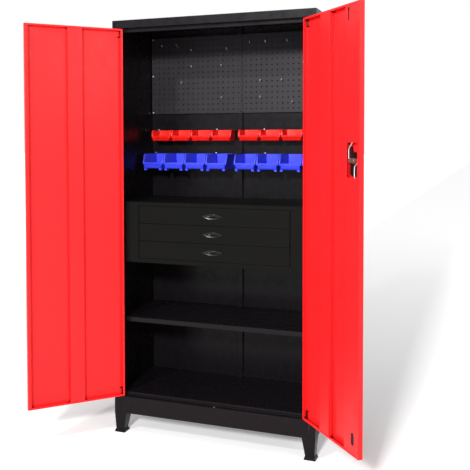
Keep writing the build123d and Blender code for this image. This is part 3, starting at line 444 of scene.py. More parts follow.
@dataclass
class Workshop:
    """The loaded frame and every finish, ready to dress nodes and pieces."""

    frame: dict
    materials: dict[Slot | Variant, Material] = field(default_factory=dict)
    slots: dict[str, Slot] = field(default_factory=dict)

    def __post_init__(self) -> None:
        """Build each finish once and list the slot of each node."""
        for finish in FINISHES:
            self.materials[finish.key] = finish.material()
        for part in self.frame["record"]["subparts"]:
            self.slots[part["node"]] = Slot(part["material_slot"])

    def joint(self, name: str) -> dict:
        """The record's joint of that name."""
        return next(joint for joint in self.frame["joints"] if joint["name"] == name)

    def keep(self, *nodes: str, edge: float = SHEET_EDGE, variant: Variant | None = None) -> None:
        """Dress CAD nodes through their own slots, and round their edges.

        Args:
            nodes: The nodes' names.
            edge: Width of the rounding.
            variant: A finish of their own, or none for that of each node's slot.
        """
        for name in nodes:
            node = self.frame["nodes"][name]
            for holder in node.material_slots:
                holder.link = "OBJECT"
                holder.material = self.materials[variant or self.slots[name]]
            round_edges(node, edge)
            LOG.info("kept %s in %s", name, self.slots[name].value)

    def add(self, piece: Piece, slot: Slot, body: str, *nodes: str, variant: Variant | None = None) -> None:
        """Dress a piece made here and let it ride on a body.

        Args:
            piece: The piece, in place.
            slot: The record's slot that it takes its finish from.
            body: The body that it moves with.
            nodes: The CAD nodes that it stands for.
            variant: A finish of its own, or none for that of the slot.
        """
        piece.data.materials.clear()
        piece.data.materials.append(self.materials[variant or slot])
        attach(piece, body)
        if nodes:
            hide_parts(*nodes)
        LOG.info("made %s: %d faces on %s", piece.name, len(piece.data.polygons), body)

    def stand_in(self, piece: Piece, node: str, variant: Variant | None = None) -> None:
        """Add a piece in place of one CAD node, with that node's body, and its slot's finish or a variant."""
        self.add(piece, self.slots[node], self.frame["nodes"][node]["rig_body"], node, variant=variant)

    def solids(self, node: str) -> list[tuple[Vector, Vector]]:
        """Boxes of the separate solids in a CAD node.

        Args:
            node: The node's name.

        Returns:
            The lowest and highest corner of each solid, in a fixed order.
        """
        copy = bmesh.new()
        copy.from_mesh(self.frame["nodes"][node].data)
        bmesh.ops.remove_doubles(copy, verts=copy.verts, dist=CAD_WELD)
        waiting = set(copy.verts)
        boxes = []
        while waiting:
            reach = [waiting.pop()]
            for vert in reach:
                near = {edge.other_vert(vert) for edge in vert.link_edges} & waiting
                waiting -= near
                reach.extend(near)
            low = Vector(min(vert.co[axis] for vert in reach) for axis in range(3))
            high = Vector(max(vert.co[axis] for vert in reach) for axis in range(3))
            boxes.append((low, high))
        copy.free()
        return sorted(boxes, key=lambda box: tuple(box[0]))


def arc(middle: Flat, radius: float, start: float, end: float, steps: int) -> list[Flat]:
    """Points along an arc, with angles in degrees."""
    turns = [math.radians(start + (end - start) * step / steps) for step in range(steps + 1)]
    return [(middle[0] + radius * math.cos(turn), middle[1] + radius * math.sin(turn)) for turn in turns]


def rounded_rectangle(half_width: float, half_height: float, radius: float, steps: int = 5) -> list[Flat]:
    """Outline of a rectangle about the origin with rounded corners, anticlockwise from the right.

    Args:
        half_width: Half of its width.
        half_height: Half of its height.
        radius: The corners' radius.
        steps: Steps round each corner.

    Returns:
        The outline's points.
    """
    points: list[Flat] = []
    for quarter, (sign_x, sign_y) in enumerate(QUARTERS):
        middle = (sign_x * (half_width - radius), sign_y * (half_height - radius))
        points += arc(middle, radius, 90 * quarter, 90 * quarter + 90, steps)
    return points


def tangent_lean(reach: float, tip_radius: float, hub_radius: float) -> float:
    """Degrees from the line between a hub and a tip to where a straight side touches both of them."""
    return math.degrees(math.acos((hub_radius - tip_radius) / reach))


def bent(line: Sequence[Point], bend: float, steps: int = 6) -> list[Vector]:
    """A line of points with its inner corners rounded.

    Args:
        line: The corners.
        bend: How far from a corner the rounding starts, at most half of the shorter side.
        steps: Points along each rounding.

    Returns:
        The points of the rounded line.
    """
    corners = [Vector(point) for point in line]
    path = [corners[0]]
    for before, corner, after in zip(corners, corners[1:], corners[2:]):
        back, ahead = before - corner, after - corner
        reach = min(bend, back.length / 2, ahead.length / 2)
        for step in range(steps + 1):
            share = step / steps
            way = (1 - share) ** 2 * back.normalized() + share**2 * ahead.normalized()
            path.append(corner + reach * way)
    return path + [corners[-1]]


def axes(axis: Sequence[float]) -> tuple[Vector, Vector, Vector]:
    """A direction of unit length, and two more that are square to it and to each other.

    Args:
        axis: The direction.

    Returns:
        The three directions.
    """
    way = Vector(axis).normalized()
    first = way.orthogonal().normalized()
    return way, first, way.cross(first)


def spokes(first: Vector, second: Vector, sides: int) -> list[Vector]:
    """Spokes of a wheel, turning from one direction towards another."""
    turns = [math.tau * step / sides for step in range(sides)]
    return [math.cos(turn) * first + math.sin(turn) * second for turn in turns]


class Mould:
    """Gathers the skins of one piece, then turns them into an object."""

    # Radius and length of the broken end of a wire, as shares of the wire's radius
    wire_end: Flat = (0.6, 0.35)
    # Radius and height of each line round a low head, as shares of the head's own
    head_lines: tuple[Flat, ...] = ((1.0, 0.0), (1.0, 0.35), (0.93, 0.72), (0.78, 0.93), (0.66, 1.0))
    head_sides: int = 24

    def __init__(self, place: Matrix | None = None) -> None:
        """Start an empty piece.

        Args:
            place: Carries the coordinates that the piece is drawn in to the frame.
        """
        self.mesh = bmesh.new()
        self.place = place or Matrix.Identity(4)

    def ring(self, points: Row) -> list[bmesh.types.BMVert]:
        """Add a row of points."""
        return [self.mesh.verts.new(self.place @ Vector(point)) for point in points]

    def skin(self, rows: Sequence[Row], around: bool = True, caps: bool = True) -> None:
        """Stretch a skin over rows of as many points.

        Args:
            rows: The rows.
            around: Whether each row closes on itself.
            caps: Whether the first and the last row are filled.
        """
        rings = [self.ring(row) for row in rows]
        count = len(rings[0])
        for low, high in zip(rings, rings[1:]):
            for step in range(count if around else count - 1):
                turn = (step + 1) % count
                self.mesh.faces.new((low[step], low[turn], high[turn], high[step]))
        if caps:
            self.mesh.faces.new(rings[0])
            self.mesh.faces.new(rings[-1])

    def block(self, low: Point, high: Point) -> None:
        """Add a block.

        Args:
            low: Its lowest corner.
            high: The opposite corner.
        """
        corners = ((0, 0), (1, 0), (1, 1), (0, 1))
        ends = (low, high)
        self.skin([[(ends[x][0], ends[y][1], level[2]) for x, y in corners] for level in ends])

    def tube(self, line: Sequence[Point], radius: float, bend: float, sides: int = 14) -> None:
        """Bend a round wire along a line of points, with its ends broken.

        Args:
            line: The corners of the wire's middle line.
            radius: The wire's radius.
            bend: How far from a corner each bend starts.
            sides: Points round the wire.
        """
        path = bent(line, bend)
        befores, afters = path[:1] + path[:-1], path[1:] + path[-1:]
        ways = [(after - before).normalized() for before, after in zip(befores, afters)]
        narrow, inset = self.wire_end
        stations = [(point, way, 1.0) for point, way in zip(path, ways)]
        stations[0] = (path[0] + inset * radius * ways[0], ways[0], 1.0)
        stations[-1] = (path[-1] - inset * radius * ways[-1], ways[-1], 1.0)
        stations = [(path[0], ways[0], narrow), *stations, (path[-1], ways[-1], narrow)]
        rows = []
        last, normal = ways[0], ways[0].orthogonal().normalized()
        for middle, way, share in stations:
            normal = (last.rotation_difference(way) @ normal).normalized()
            last = way
            wheel = spokes(normal, way.cross(normal), sides)
            rows.append([middle + share * radius * spoke for spoke in wheel])
        self.skin(rows)

    def turned(self, profile: Sequence[Flat], at: Point, axis: Point, sides: int = 32) -> None:
        """Turn a profile round an axis.

        Args:
            profile: Radius and height of each point along the axis.
            at: Where the axis starts.
            axis: The axis' direction.
            sides: Points round the piece.
        """
        way, first, second = axes(axis)
        wheel = spokes(first, second, sides)
        foot = Vector(at)
        self.skin([[foot + height * way + radius * spoke for spoke in wheel] for radius, height in profile])

    def head(self, at: Point, axis: Point, size: Flat, recess: Sequence[Flat], depth: float) -> None:
        """Add a low round head whose flat top has a recess.

        Args:
            at: Middle of the head's foot.
            axis: The way that it stands out.
            size: The head's radius and height.
            recess: Outline of the recess, about the head's middle.
            depth: Depth of the recess.
        """
        way, first, second = axes(axis)
        wheel = spokes(first, second, self.head_sides)
        radius, height = size
        levels = []
        for share, rise in self.head_lines:
            levels.append([Vector(at) + rise * height * way + share * radius * spoke for spoke in wheel])
        self.skin(levels, caps=False)
        top = [Vector(at) + height * way + x * first + y * second for x, y in recess]
        rims = [self.ring(levels[-1]), self.ring(top)]
        lines = [self.mesh.edges.new((rim[step - 1], rim[step])) for rim in rims for step in range(len(rim))]
        bmesh.ops.triangle_fill(self.mesh, edges=lines, use_beauty=True)
        low = [point - depth * way for point in top]
        self.skin([top, low], caps=False)
        self.mesh.faces.new(self.ring(low))

    def piece(self, name: str, edge: float = 0.0, crease: float = 38.0) -> Piece:
        """Turn the skins into an object.

        Args:
            name: The object's name.
            edge: Width of the rounding of its sharp edges, or zero for none.
            crease: Angle in degrees above which an edge stays sharp.

        Returns:
            The object, in the scene.
        """
        bmesh.ops.remove_doubles(self.mesh, verts=self.mesh.verts, dist=SKIN_WELD)
        bmesh.ops.recalc_face_normals(self.mesh, faces=self.mesh.faces)
        limit = math.radians(crease)
        for face in self.mesh.faces:
            face.smooth = True
        for line in self.mesh.edges:
            line.smooth = len(line.link_faces) != 2 or line.calc_face_angle() < limit
        data = bpy.data.meshes.new(name)
        self.mesh.to_mesh(data)
        self.mesh.free()
        made = bpy.data.objects.new(name, data)
        bpy.context.scene.collection.objects.link(made)
        if edge:
            round_edges(made, edge)
        return made


@dataclass
class Carcass:
    """The folded sheet body on its legs, with the shelf."""

    shop: Workshop
    leg_edge: float = 1.6 * MM
    sheet: float = 1 * MM
    slot_drop: float = 18 * MM
    slot_pitch: float = 50 * MM
    spare_steps: tuple[int, ...] = (-1, 1, 17)
    blank_half: Flat = (2.4 * MM, 6.9 * MM)
    blank_levels: Flat = (0.35 * MM, 0.65 * MM)
    blank_edge: float = 0.1 * MM
    tab_gap: float = 0.15 * MM
    tab_height: float = 12 * MM

    def blanks(self) -> None:
        """Close each spare shelf slot with the pressed blank that is still in it."""
        mould = Mould()
        wide, tall = self.blank_half
        for low, high in self.shop.solids("shelf_clips"):
            outer, way = (low.x, 1) if low.x < 0 else (high.x, -1)
            xs = sorted(outer + way * level for level in self.blank_levels)
            y = (low.y + high.y) / 2
            for step in self.spare_steps:
                z = high.z - self.slot_drop + step * self.slot_pitch
                mould.block((xs[0], y - wide, z - tall), (xs[1], y + wide, z + tall))
        self.shop.add(mould.piece("slot_blanks", edge=self.blank_edge), Slot.CARCASS, "cabinet")

    def rib_foot(self) -> None:
        """Close the foot of the rib in the back with a folded tab."""
        mould = Mould()
        low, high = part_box("back_panel_left")
        half = high.x - self.tab_gap - self.sheet
        front, rear = low.y + self.sheet + self.tab_gap, high.y - self.tab_gap
        base = low.z + self.sheet
        mould.block((-half, front, base), (half, rear, base + self.sheet))
        mould.block((-half, rear - self.sheet, base), (half, rear, base + self.tab_height))
        self.shop.add(mould.piece("rib_foot_tab", edge=SHEET_EDGE), Slot.CARCASS, "cabinet")

    def build(self) -> None:
        """Dress the sheets, the legs and the shelf."""
        self.blanks()
        self.rib_foot()
        self.shop.keep("side_panel_left", "side_panel_right", "back_panel_left", "back_panel_right")
        self.shop.keep("top_panel", "floor_panel", "aprons", "shelf", "shelf_clips", "bin_rails")
        self.shop.keep("legs", "foot_caps", edge=self.leg_edge)


@dataclass
class Pegboard:
    """A perforated panel with round holes, its edges turned back and its face run on over the middle rib."""

    shop: Workshop
    side: Side
    pitch: float = 25 * MM
    hole_radius: float = 3 * MM
    margin: float = 15 * MM
    sheet: float = 1 * MM
    proud: float = 0.8 * MM
    seam: float = 12.5 * MM
    seam_gap: float = 0.6 * MM
    around: int = 16
    slack: float = 0.01

    def pitches(self, length: float) -> int:
        """Whole pitches in a length, with a little slack for rounding."""
        return math.floor(length / self.pitch + self.slack)

    def cell(self, mould: Mould, x: float, z: float, face: float) -> None:
        """Add one square of the board with its hole and the hole's wall.

        Args:
            mould: The board's mould.
            x: Where the hole is across the cabinet.
            z: The hole's height.
            face: Where the board's front is.
        """
        half = self.pitch / 2
        turns = [math.tau * step / self.around for step in range(self.around)]
        ways = [(math.cos(turn), math.sin(turn)) for turn in turns]
        square = []
        for way_x, way_z in ways:
            reach = half / max(abs(way_x), abs(way_z))
            square.append((x + reach * way_x, face, z + reach * way_z))
        rim = [(x + self.hole_radius * way_x, face, z + self.hole_radius * way_z) for way_x, way_z in ways]
        inner = [(px, face + self.sheet, pz) for px, _, pz in rim]
        mould.skin([square, rim, inner], caps=False)

    def build(self) -> None:
        """Make the board in place of its CAD node."""
        node = f"pegboard_{self.side.name.lower()}"
        sign = self.side.value
        low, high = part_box(node)
        face = low.y - self.proud
        outer, flange = (high.x, low.x) if sign > 0 else (low.x, high.x)
        edge = self.seam + sign * self.seam_gap / 2
        middle = (low + high) / 2
        rows = self.pitches(high.z - low.z - 2 * self.margin) + 1
        first = middle.x + sign * self.pitch * self.pitches(abs(outer - middle.x) - self.margin)
        columns = self.pitches(abs(edge - first) - self.margin) + 1
        mould = Mould()
        for column in range(columns):
            for row in range(rows):
                z = middle.z + (row - (rows - 1) / 2) * self.pitch
                self.cell(mould, first - sign * column * self.pitch, z, face)
        half_z = rows * self.pitch / 2
        holes_outer = first + sign * self.pitch / 2
        holes_inner = first - sign * (columns - 0.5) * self.pitch
        fold = self.sheet
        ends = ((low.z, middle.z - half_z, fold), (high.z, middle.z + half_z, -fold))
        places = ((outer, holes_outer, -sign * fold, high.y), (flange, flange, 0.0, high.y),
                  (edge, holes_inner, sign * fold, face + fold))
        rings: list[list[Point]] = [[], [], [], []]
        for (end, holes_end, up), order in zip(ends, (1, -1)):
            for x, holes_x, inward, back in places[::order]:
                rings[0].append((holes_x, face, holes_end))
                rings[1].append((x + inward, face, end + up))
                rings[2].append((x, face + fold, end))
                rings[3].append((x, back, end))
        mould.skin(rings, caps=False)
        self.shop.stand_in(mould.piece(f"perforated_{node}"), node)


@dataclass
class BackWall:
    """What hangs on the back of the cabinet: the pegboards, their hooks and the screws."""

    shop: Workshop
    hook_bend: float = 6 * MM
    # A screw's cross recess: half length and half width by the screw's radius, and depth by its height
    arm_share: float = 0.558
    slot_share: float = 0.14
    depth_share: float = 0.5

    def hooks(self) -> None:
        """Bend each hook from round wire, turned up at its tip."""
        mould = Mould()
        for low, high in self.shop.solids("pegboard_hooks"):
            radius = (high.x - low.x) / 2
            x = (low.x + high.x) / 2
            z = low.z + radius
            tip = low.y + radius
            mould.tube([(x, high.y, z), (x, tip, z), (x, tip, high.z)], radius, self.hook_bend)
        self.shop.stand_in(mould.piece("wire_hooks"), "pegboard_hooks")

    def screws(self) -> None:
        """Make the panel screws with a cross recess."""
        mould = Mould()
        for low, high in self.shop.solids("panel_screws"):
            middle = (low + high) / 2
            radius, height = (high.z - low.z) / 2, high.y - low.y
            arm, half = self.arm_share * radius, self.slot_share * radius
            corner = [(arm, half), (half, half), (half, arm)]
            cross = []
            for _ in QUARTERS:
                cross += corner
                corner = [(-y, x) for x, y in corner]
            foot = (middle.x, high.y, middle.z)
            mould.head(foot, (0, -1, 0), (radius, height), cross, self.depth_share * height)
        self.shop.stand_in(mould.piece("cross_screws"), "panel_screws")

    def build(self) -> None:
        """Make the boards, hooks and screws."""
        for side in Side:
            Pegboard(self.shop, side).build()
        self.hooks()
        self.screws()


@dataclass(frozen=True)
class BinShape:
    """Sizes of one kind of hanging bin."""

    colour: str
    depth: float
    height: float
    front: float
    footed: bool
    corner: float = 6 * MM
    corner_steps: int = 6
    side_steps: int = 24
    wall: float = 2 * MM
    rim: float = 4 * MM
    rim_height: float = 3.5 * MM
    draft: float = 3 * MM
    front_draft: float = 14 * MM
    lip_reach: float = 5 * MM
    lip_height: float = 10 * MM
    hook_reach: float = 4.3 * MM
    hook_drop: float = 8 * MM
    hook_width: float = 60 * MM
    fall_shares: Flat = (0.82, 0.985)
    soft: float = 0.6 * MM
    foot: Point = (12 * MM, 20 * MM, 7 * MM)

    def outline(self, half: float) -> list[tuple[float, float, float, float]]:
        """Points round the top of the body, each with its outward direction.

        Args:
            half: Half of the body's width at the top.

        Returns:
            x, y and the direction's x and y, with the back at y = 0.
        """
        middle = -self.depth / 2
        points = []
        for quarter, (sign_x, sign_y) in enumerate(QUARTERS):
            corner = (sign_x * (half - self.corner), middle + sign_y * (self.depth / 2 - self.corner))
            for way_x, way_y in arc((0, 0), 1, 90 * quarter, 90 * quarter + 90, self.corner_steps):
                x, y = corner[0] + self.corner * way_x, corner[1] + self.corner * way_y
                points.append((x, y, way_x, way_y))
            if quarter % 2:
                x, start = points[-1][:2]
                step = (-start - self.depth - start) / self.side_steps
                points += [(x, start + count * step, sign_x, 0.0) for count in range(1, self.side_steps)]
        return points

    def fall(self, y: float) -> float:
        """How far the rim has come down on its way to the front lip.

        Args:
            y: The depth at which it is asked for.

        Returns:
            From zero at the bin's full height to one at the lip.
        """
        start, end = (-share * self.depth for share in self.fall_shares)
        share = min(1.0, max(0.0, (y - start) / (end - start)))
        return share * share * (3 - 2 * share)

    def column(self, x: float, y: float, way_x: float, way_y: float) -> list[Point]:
        """The profile of the wall at one point of the outline.

        Args:
            x: The point across the bin.
            y: The point along it.
            way_x: The outward direction across.
            way_y: The outward direction along.

        Returns:
            Points from under the base over the rim to the floor.
        """
        fall = self.fall(y)
        top = self.height + (self.front - self.height) * fall
        reach = self.rim + (self.lip_reach - self.rim) * fall
        under = top - self.rim_height - (self.lip_height - self.rim_height) * fall
        soft, wall = self.soft, self.wall
        profile = (
            (-2 * soft, 0), (0, 2 * soft), (0, under - soft), (soft, under), (reach - soft, under),
            (reach, under + soft), (reach, top - soft), (reach - soft, top), (soft - wall, top),
            (-wall, top - soft), (-wall, wall + 3 * soft), (-wall - 3 * soft, wall),
        )
        points = []
        for offset, z in profile:
            rise = 1 - z / self.height
            back = self.front_draft * rise - offset
            x_in = way_x * (self.draft * rise - offset)
            points.append((x - x_in, y - min(way_y, 0.0) * back - max(way_y, 0.0) * max(0.0, -offset), z))
        return points

    def mesh(self, width: float) -> bpy.types.Mesh:
        """Mould the bin about its own back edge, with its base at z = 0.

        Args:
            width: Width over the rims.

        Returns:
            The bin's mesh.
        """
        mould = Mould()
        half = width / 2 - self.rim
        columns = [self.column(*point) for point in self.outline(half)]
        mould.skin(list(zip(*columns)))
        grip = self.hook_width / 2
        under = self.height - self.wall
        rear = self.hook_reach
        mould.block((-grip, -self.wall, under), (grip, rear, self.height))
        mould.block((-grip, rear - self.wall, under - self.hook_drop), (grip, rear, under))
        if self.footed:
            wide, long, tall = self.foot
            start = 2 * self.draft - self.depth
            outer = half - self.draft
            for sign in (-1, 1):
                xs = sorted((sign * outer, sign * (outer - wide)))
                mould.block((xs[0], start, -tall), (xs[1], start + long, self.wall))
        piece = mould.piece(f"moulded_{self.colour}_bin")
        data = piece.data
        bpy.data.objects.remove(piece)
        return data


@dataclass
class BinRow:
    """A row of bins of one kind, all from one mould."""

    shop: Workshop
    shape: BinShape
    count: int = 8

    def build(self) -> None:
        """Hang the row in place of its CAD nodes."""
        data = None
        for number in range(1, self.count + 1):
            node = f"{self.shape.colour}_bin_{number}"
            low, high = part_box(node)
            data = data or self.shape.mesh(high.x - low.x)
            piece = bpy.data.objects.new(f"moulded_{node}", data)
            x = (low.x + high.x) / 2
            piece.location = (x, high.y - self.shape.hook_reach, high.z - self.shape.height)
            bpy.context.scene.collection.objects.link(piece)
            self.shop.stand_in(piece, node)


@dataclass
class DrawerChest:
    """The chest of three drawers with hooded pulls."""

    shop: Workshop
    front_edge: float = 0.45 * MM
    reach: float = 2 * MM
    steps: int = 44
    pull_crease: float = 60.0
    # Rise, depth and width of each line across a pull, as shares of its half height, of its reach in front
    # of the drawer (negative) or of its cup's depth (positive), and of its half width
    line_shares: tuple[Point, ...] = (
        (1.00, 0.00, 1.00), (0.95, -0.55, 0.985), (0.86, -0.90, 0.96), (0.74, -1.00, 0.94),
        (0.58, -0.98, 0.925), (0.44, -0.90, 0.91), (0.36, -0.70, 0.90), (0.36, -0.20, 0.89),
        (0.46, 0.30, 0.86), (0.50, 0.70, 0.80), (0.35, 0.95, 0.74), (-0.08, 1.00, 0.72),
        (-0.28, 0.80, 0.76), (-0.36, 0.40, 0.80), (-0.39, 0.12, 0.83), (-0.42, 0.045, 0.845),
        (-0.52, -0.05, 0.87), (-0.64, -0.352, 0.89), (-0.76, -0.655, 0.915), (-0.84, -0.857, 0.935),
        (-0.88, -0.96, 0.95), (-0.93, -0.95, 0.965), (-0.97, -0.60, 0.98), (-1.00, 0.00, 1.00),
    )

    def pull(self, name: str) -> None:
        """Mould one pull: a lens-shaped bezel, a hood over its upper half and a cup behind.

        Args:
            name: The drawer's name.
        """
        node = f"drawer_{name}_pull"
        low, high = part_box(node)
        middle = (low + high) / 2
        half_width, half_height = (high.x - low.x) / 2, (high.z - low.z) / 2
        seat = low.y + self.reach
        cup = high.y - seat
        rows = []
        for rise, depth, width in self.line_shares:
            inward = depth * (self.reach if depth < 0 else cup)
            row = []
            for step in range(self.steps + 1):
                share = 2 * step / self.steps - 1
                bow = 1 - share * share
                x = middle.x + share * width * half_width
                row.append((x, seat + inward * bow, middle.z + rise * bow * half_height))
            rows.append(row)
        mould = Mould()
        mould.skin(rows, around=False, caps=False)
        self.shop.stand_in(mould.piece(f"hooded_{node}", crease=self.pull_crease), node, Variant.PULL)

    def build(self) -> None:
        """Dress the chest and its drawers and make the pulls."""
        # The chest, its trays and its fronts take the darker copy of the carcass paint, which paints the
        # shade inside the cabinet
        self.shop.keep("chest_shell", "chest_face_frame", variant=Variant.CHEST)
        self.shop.keep("chest_runners")
        for name in DRAWERS:
            self.shop.keep(f"drawer_{name}_tray", variant=Variant.CHEST)
            self.shop.keep(f"drawer_{name}_runners")
            self.shop.keep(f"drawer_{name}_front", edge=self.front_edge, variant=Variant.CHEST)
            self.pull(name)


@dataclass
class Door:
    """One door on its hinge pins, drawn shut and swung open as the frame has it.

    Its own coordinates run across from the hinge edge, in from the outer face and up.
    """

    shop: Workshop
    side: Side
    pin_across: float = 7 * MM
    pin_inward: float = 3.2 * MM
    pin_radius: float = 2 * MM
    pin_bend: float = 5 * MM
    tail_length: float = 13 * MM

    @property
    def name(self) -> str:
        """The door's body."""
        return f"{self.side.name.lower()}_door"

    def place(self) -> Matrix:
        """Find where the door hangs.

        Returns:
            What carries the door's own coordinates to the frame.
        """
        joint = self.shop.joint(f"{self.name}_hinge")
        sign = self.side.value
        pin = Matrix.Translation(joint["pos_m"])
        swing = Matrix.Rotation(math.radians(-sign * joint["range_deg"][0]), 4, "Z")
        shut = Matrix.Diagonal((-sign, 1, 1, 1))
        home = Matrix.Translation((-self.pin_across, -self.pin_inward, -joint["pos_m"][2]))
        return pin @ swing @ shut @ home

    def pins(self) -> None:
        """Bend the two hinge pins, each with a turned tail."""
        mould = Mould(self.place())
        node = f"{self.name}_pins"
        across, inward = self.pin_across, self.pin_inward
        for low, high in self.shop.solids(node):
            upper = low.z > self.shop.joint(f"{self.name}_hinge")["pos_m"][2]
            tip, foot = (high.z, low.z + self.pin_radius) if upper else (low.z, high.z - self.pin_radius)
            line = [(across, inward, tip), (across, inward, foot), (across + self.tail_length, inward, foot)]
            mould.tube(line, self.pin_radius, self.pin_bend)
        self.shop.add(mould.piece(f"bent_{node}"), Slot.CARCASS, self.name, node)

    def build(self) -> None:
        """Dress the sheets and make the pins."""
        self.shop.keep(f"{self.name}_skin", f"{self.name}_stiffener")
        self.pins()


@dataclass
class RodLock:
    """The lock of the right door: case, cam, two rods and the lever outside.

    Turned profiles are in radius and height, and rods' lines across the door and up from the spindle.
    """

    shop: Workshop
    door: Door
    across: float = 373 * MM
    height: float = 1210 * MM
    # The case with a taller block at its left, standing for the case's left part and also covering the shaded
    # top-left of the window with black as painted shade, the boss round the spindle, the rivets and the plate
    # outside
    case_blocks: tuple[tuple[Point, Point], ...] = (
        mm((349, 1, 1156), (411, 8, 1240)), mm((339, 1, 1160), (350, 7, 1258)),
    )
    case_edge: float = 0.8 * MM
    boss: tuple[Flat, ...] = mm((12, 7), (12, 9), (11, 10), (6, 10))
    rivet: tuple[Flat, ...] = mm((3.2, 8), (3, 8.8), (1.8, 9.4))
    rivet_across: float = 404 * MM
    rivet_heights: Flat = (1164 * MM, 1234 * MM)
    rivet_sides: int = 16
    plate: tuple[Flat, ...] = mm((22, 0), (22, 1.5), (21.2, 2.7), (20, 3), (11, 3), (10, 2.4), (6, 2.4))
    plate_sides: int = 48
    # The cam with its nut and crank pins
    arm: float = 27 * MM
    cam_hub: float = 10 * MM
    cam_tip: float = 6.5 * MM
    cam_steps: tuple[int, int] = (12, 4)
    cam_levels: Flat = (14 * MM, 17 * MM)
    cam_edge: float = 0.5 * MM
    cam_sides: int = 24
    nut: tuple[Flat, ...] = mm((8, 17), (8, 17.4), (6, 17.5), (5.6, 18.2), (4, 18.5))
    crank: tuple[Flat, ...] = mm((3, 8.5), (3, 17), (4.2, 17), (4, 17.7), (2.4, 18.1))
    # The rods, and half width, half height and corner of the slot in an eye and of the eye round it
    rod_depth: float = 11 * MM
    rod_radius: float = 2.5 * MM
    rod_bend: float = 8 * MM
    rod_edge: float = 0.4 * MM
    upper_line: tuple[Flat, ...] = mm((335, 6), (335, 42), (372, 76))
    lower_line: tuple[Flat, ...] = mm((396, -6), (374, -20), (374, -58), (408, -84))
    eye_reach: float = 23.05 * MM
    eye_thick: float = 2 * MM
    eye_loops: tuple[Point, Point] = mm((7.35, 4, 3.8), (11.35, 8, 6))
    guide_edge: float = 0.8 * MM
    # The lever, its level and share of its full size at each line, its stem and spindle, and the key barrel
    lever_length: float = 98 * MM
    lever_hub: float = 8.5 * MM
    lever_tip: float = 6.5 * MM
    lever_steps: int = 16
    lever_levels: tuple[float, ...] = (20.3 * MM, 20.9 * MM, 22.5 * MM, 23.6 * MM, 24.1 * MM)
    lever_shares: tuple[float, ...] = (0.97, 1.0, 1.0, 0.95, 0.84)
    lever_crease: float = 30.0
    stem: tuple[Flat, ...] = mm((9.5, 3.3), (8.6, 4.5), (7, 8.3), (7, 17.3), (8, 20.3))
    spindle: tuple[Flat, ...] = mm((6, -3.3), (6, 14))
    barrel: Flat = (5.6 * MM, 1.2 * MM)
    barrel_foot: float = 23.5 * MM
    keyway: Flat = (2.6 * MM, 0.5 * MM)
    keyway_depth: float = 1.1 * MM
    # The plug in the slot at the head of the stile: its place, its spine, its ribs and the bead on top
    stile_face: float = 19.02 * MM
    peep_across: float = 343 * MM
    peep_drop: float = 17.4 * MM
    peep_half: Flat = (2.7 * MM, 45 * MM)
    peep_depth: float = 4 * MM
    peep_first: float = 10 * MM
    peep_pitch: float = 12 * MM
    peep_rib: Flat = (6 * MM, 3 * MM)
    peep_ribs: int = 3
    peep_proud: float = 0.7 * MM
    peep_edge: float = 0.2 * MM
    bead: Point = (8 * MM, 4.5 * MM, 4.05 * MM)
    bead_lines: tuple[Flat, ...] = ((0.0, 1.0), (0.5, 1.0), (1.0, 0.85), (1.2, 0.5))

    def mould(self) -> Mould:
        """Start a piece in the door's own coordinates."""
        return Mould(self.door.place())

    def case(self) -> None:
        """Make the case inside the skin and the round plate outside."""
        mould = self.mould()
        for low, high in self.case_blocks:
            mould.block(low, high)
        mould.turned(self.boss, (self.across, 0, self.height), (0, 1, 0))
        for z in self.rivet_heights:
            mould.turned(self.rivet, (self.rivet_across, 0, z), (0, 1, 0), self.rivet_sides)
        mould.turned(self.plate, (self.across, 0, self.height), (0, -1, 0), self.plate_sides)
        self.shop.stand_in(mould.piece("lock_case_and_plate", edge=self.case_edge), "lock_body")

    def cam(self) -> None:
        """Make the two-armed cam with its nut and the crank pins."""
        mould = self.mould()
        tip_steps, hub_steps = self.cam_steps
        lean = tangent_lean(self.arm, self.cam_tip, self.cam_hub)
        half = arc((self.arm, 0), self.cam_tip, -lean, lean, tip_steps)
        half += arc((0, 0), self.cam_hub, lean, 180 - lean, hub_steps)
        outline = half + [(-x, -y) for x, y in half]
        rows = [[(self.across + x, level, self.height + y) for x, y in outline] for level in self.cam_levels]
        mould.skin(rows)
        mould.turned(self.nut, (self.across, 0, self.height), (0, 1, 0), self.cam_sides)
        for sign in (-1, 1):
            foot = (self.across + sign * self.arm, 0, self.height)
            mould.turned(self.crank, foot, (0, 1, 0), self.cam_sides)
        self.shop.stand_in(mould.piece("two_armed_cam", edge=self.cam_edge), "lock_cam", Variant.CAM)

    def rod(self, node: str, line: Sequence[Flat], way: int) -> None:
        """Bend a rod and close it in a slotted eye.

        Args:
            node: The CAD node that it stands for.
            line: Where it runs from its eye on.
            way: One for the upper rod and minus one for the lower.
        """
        mould = self.mould()
        low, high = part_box(node)
        depth, thick = self.rod_depth, self.eye_thick
        path = [(x, depth, self.height + z) for x, z in line]
        path.append((line[-1][0], depth, high.z if way > 0 else low.z))
        mould.tube(path, self.rod_radius, self.rod_bend)
        middle = self.across - way * self.eye_reach
        slot, outer = (rounded_rectangle(*loop) for loop in self.eye_loops)
        loops = ((outer, -thick), (outer, thick), (slot, thick), (slot, -thick), (outer, -thick))
        rows = [[(middle + x, depth + level, self.height + z) for x, z in loop] for loop, level in loops]
        mould.skin(rows, caps=False)
        self.shop.stand_in(mould.piece(f"bent_{node}", edge=self.rod_edge), node)

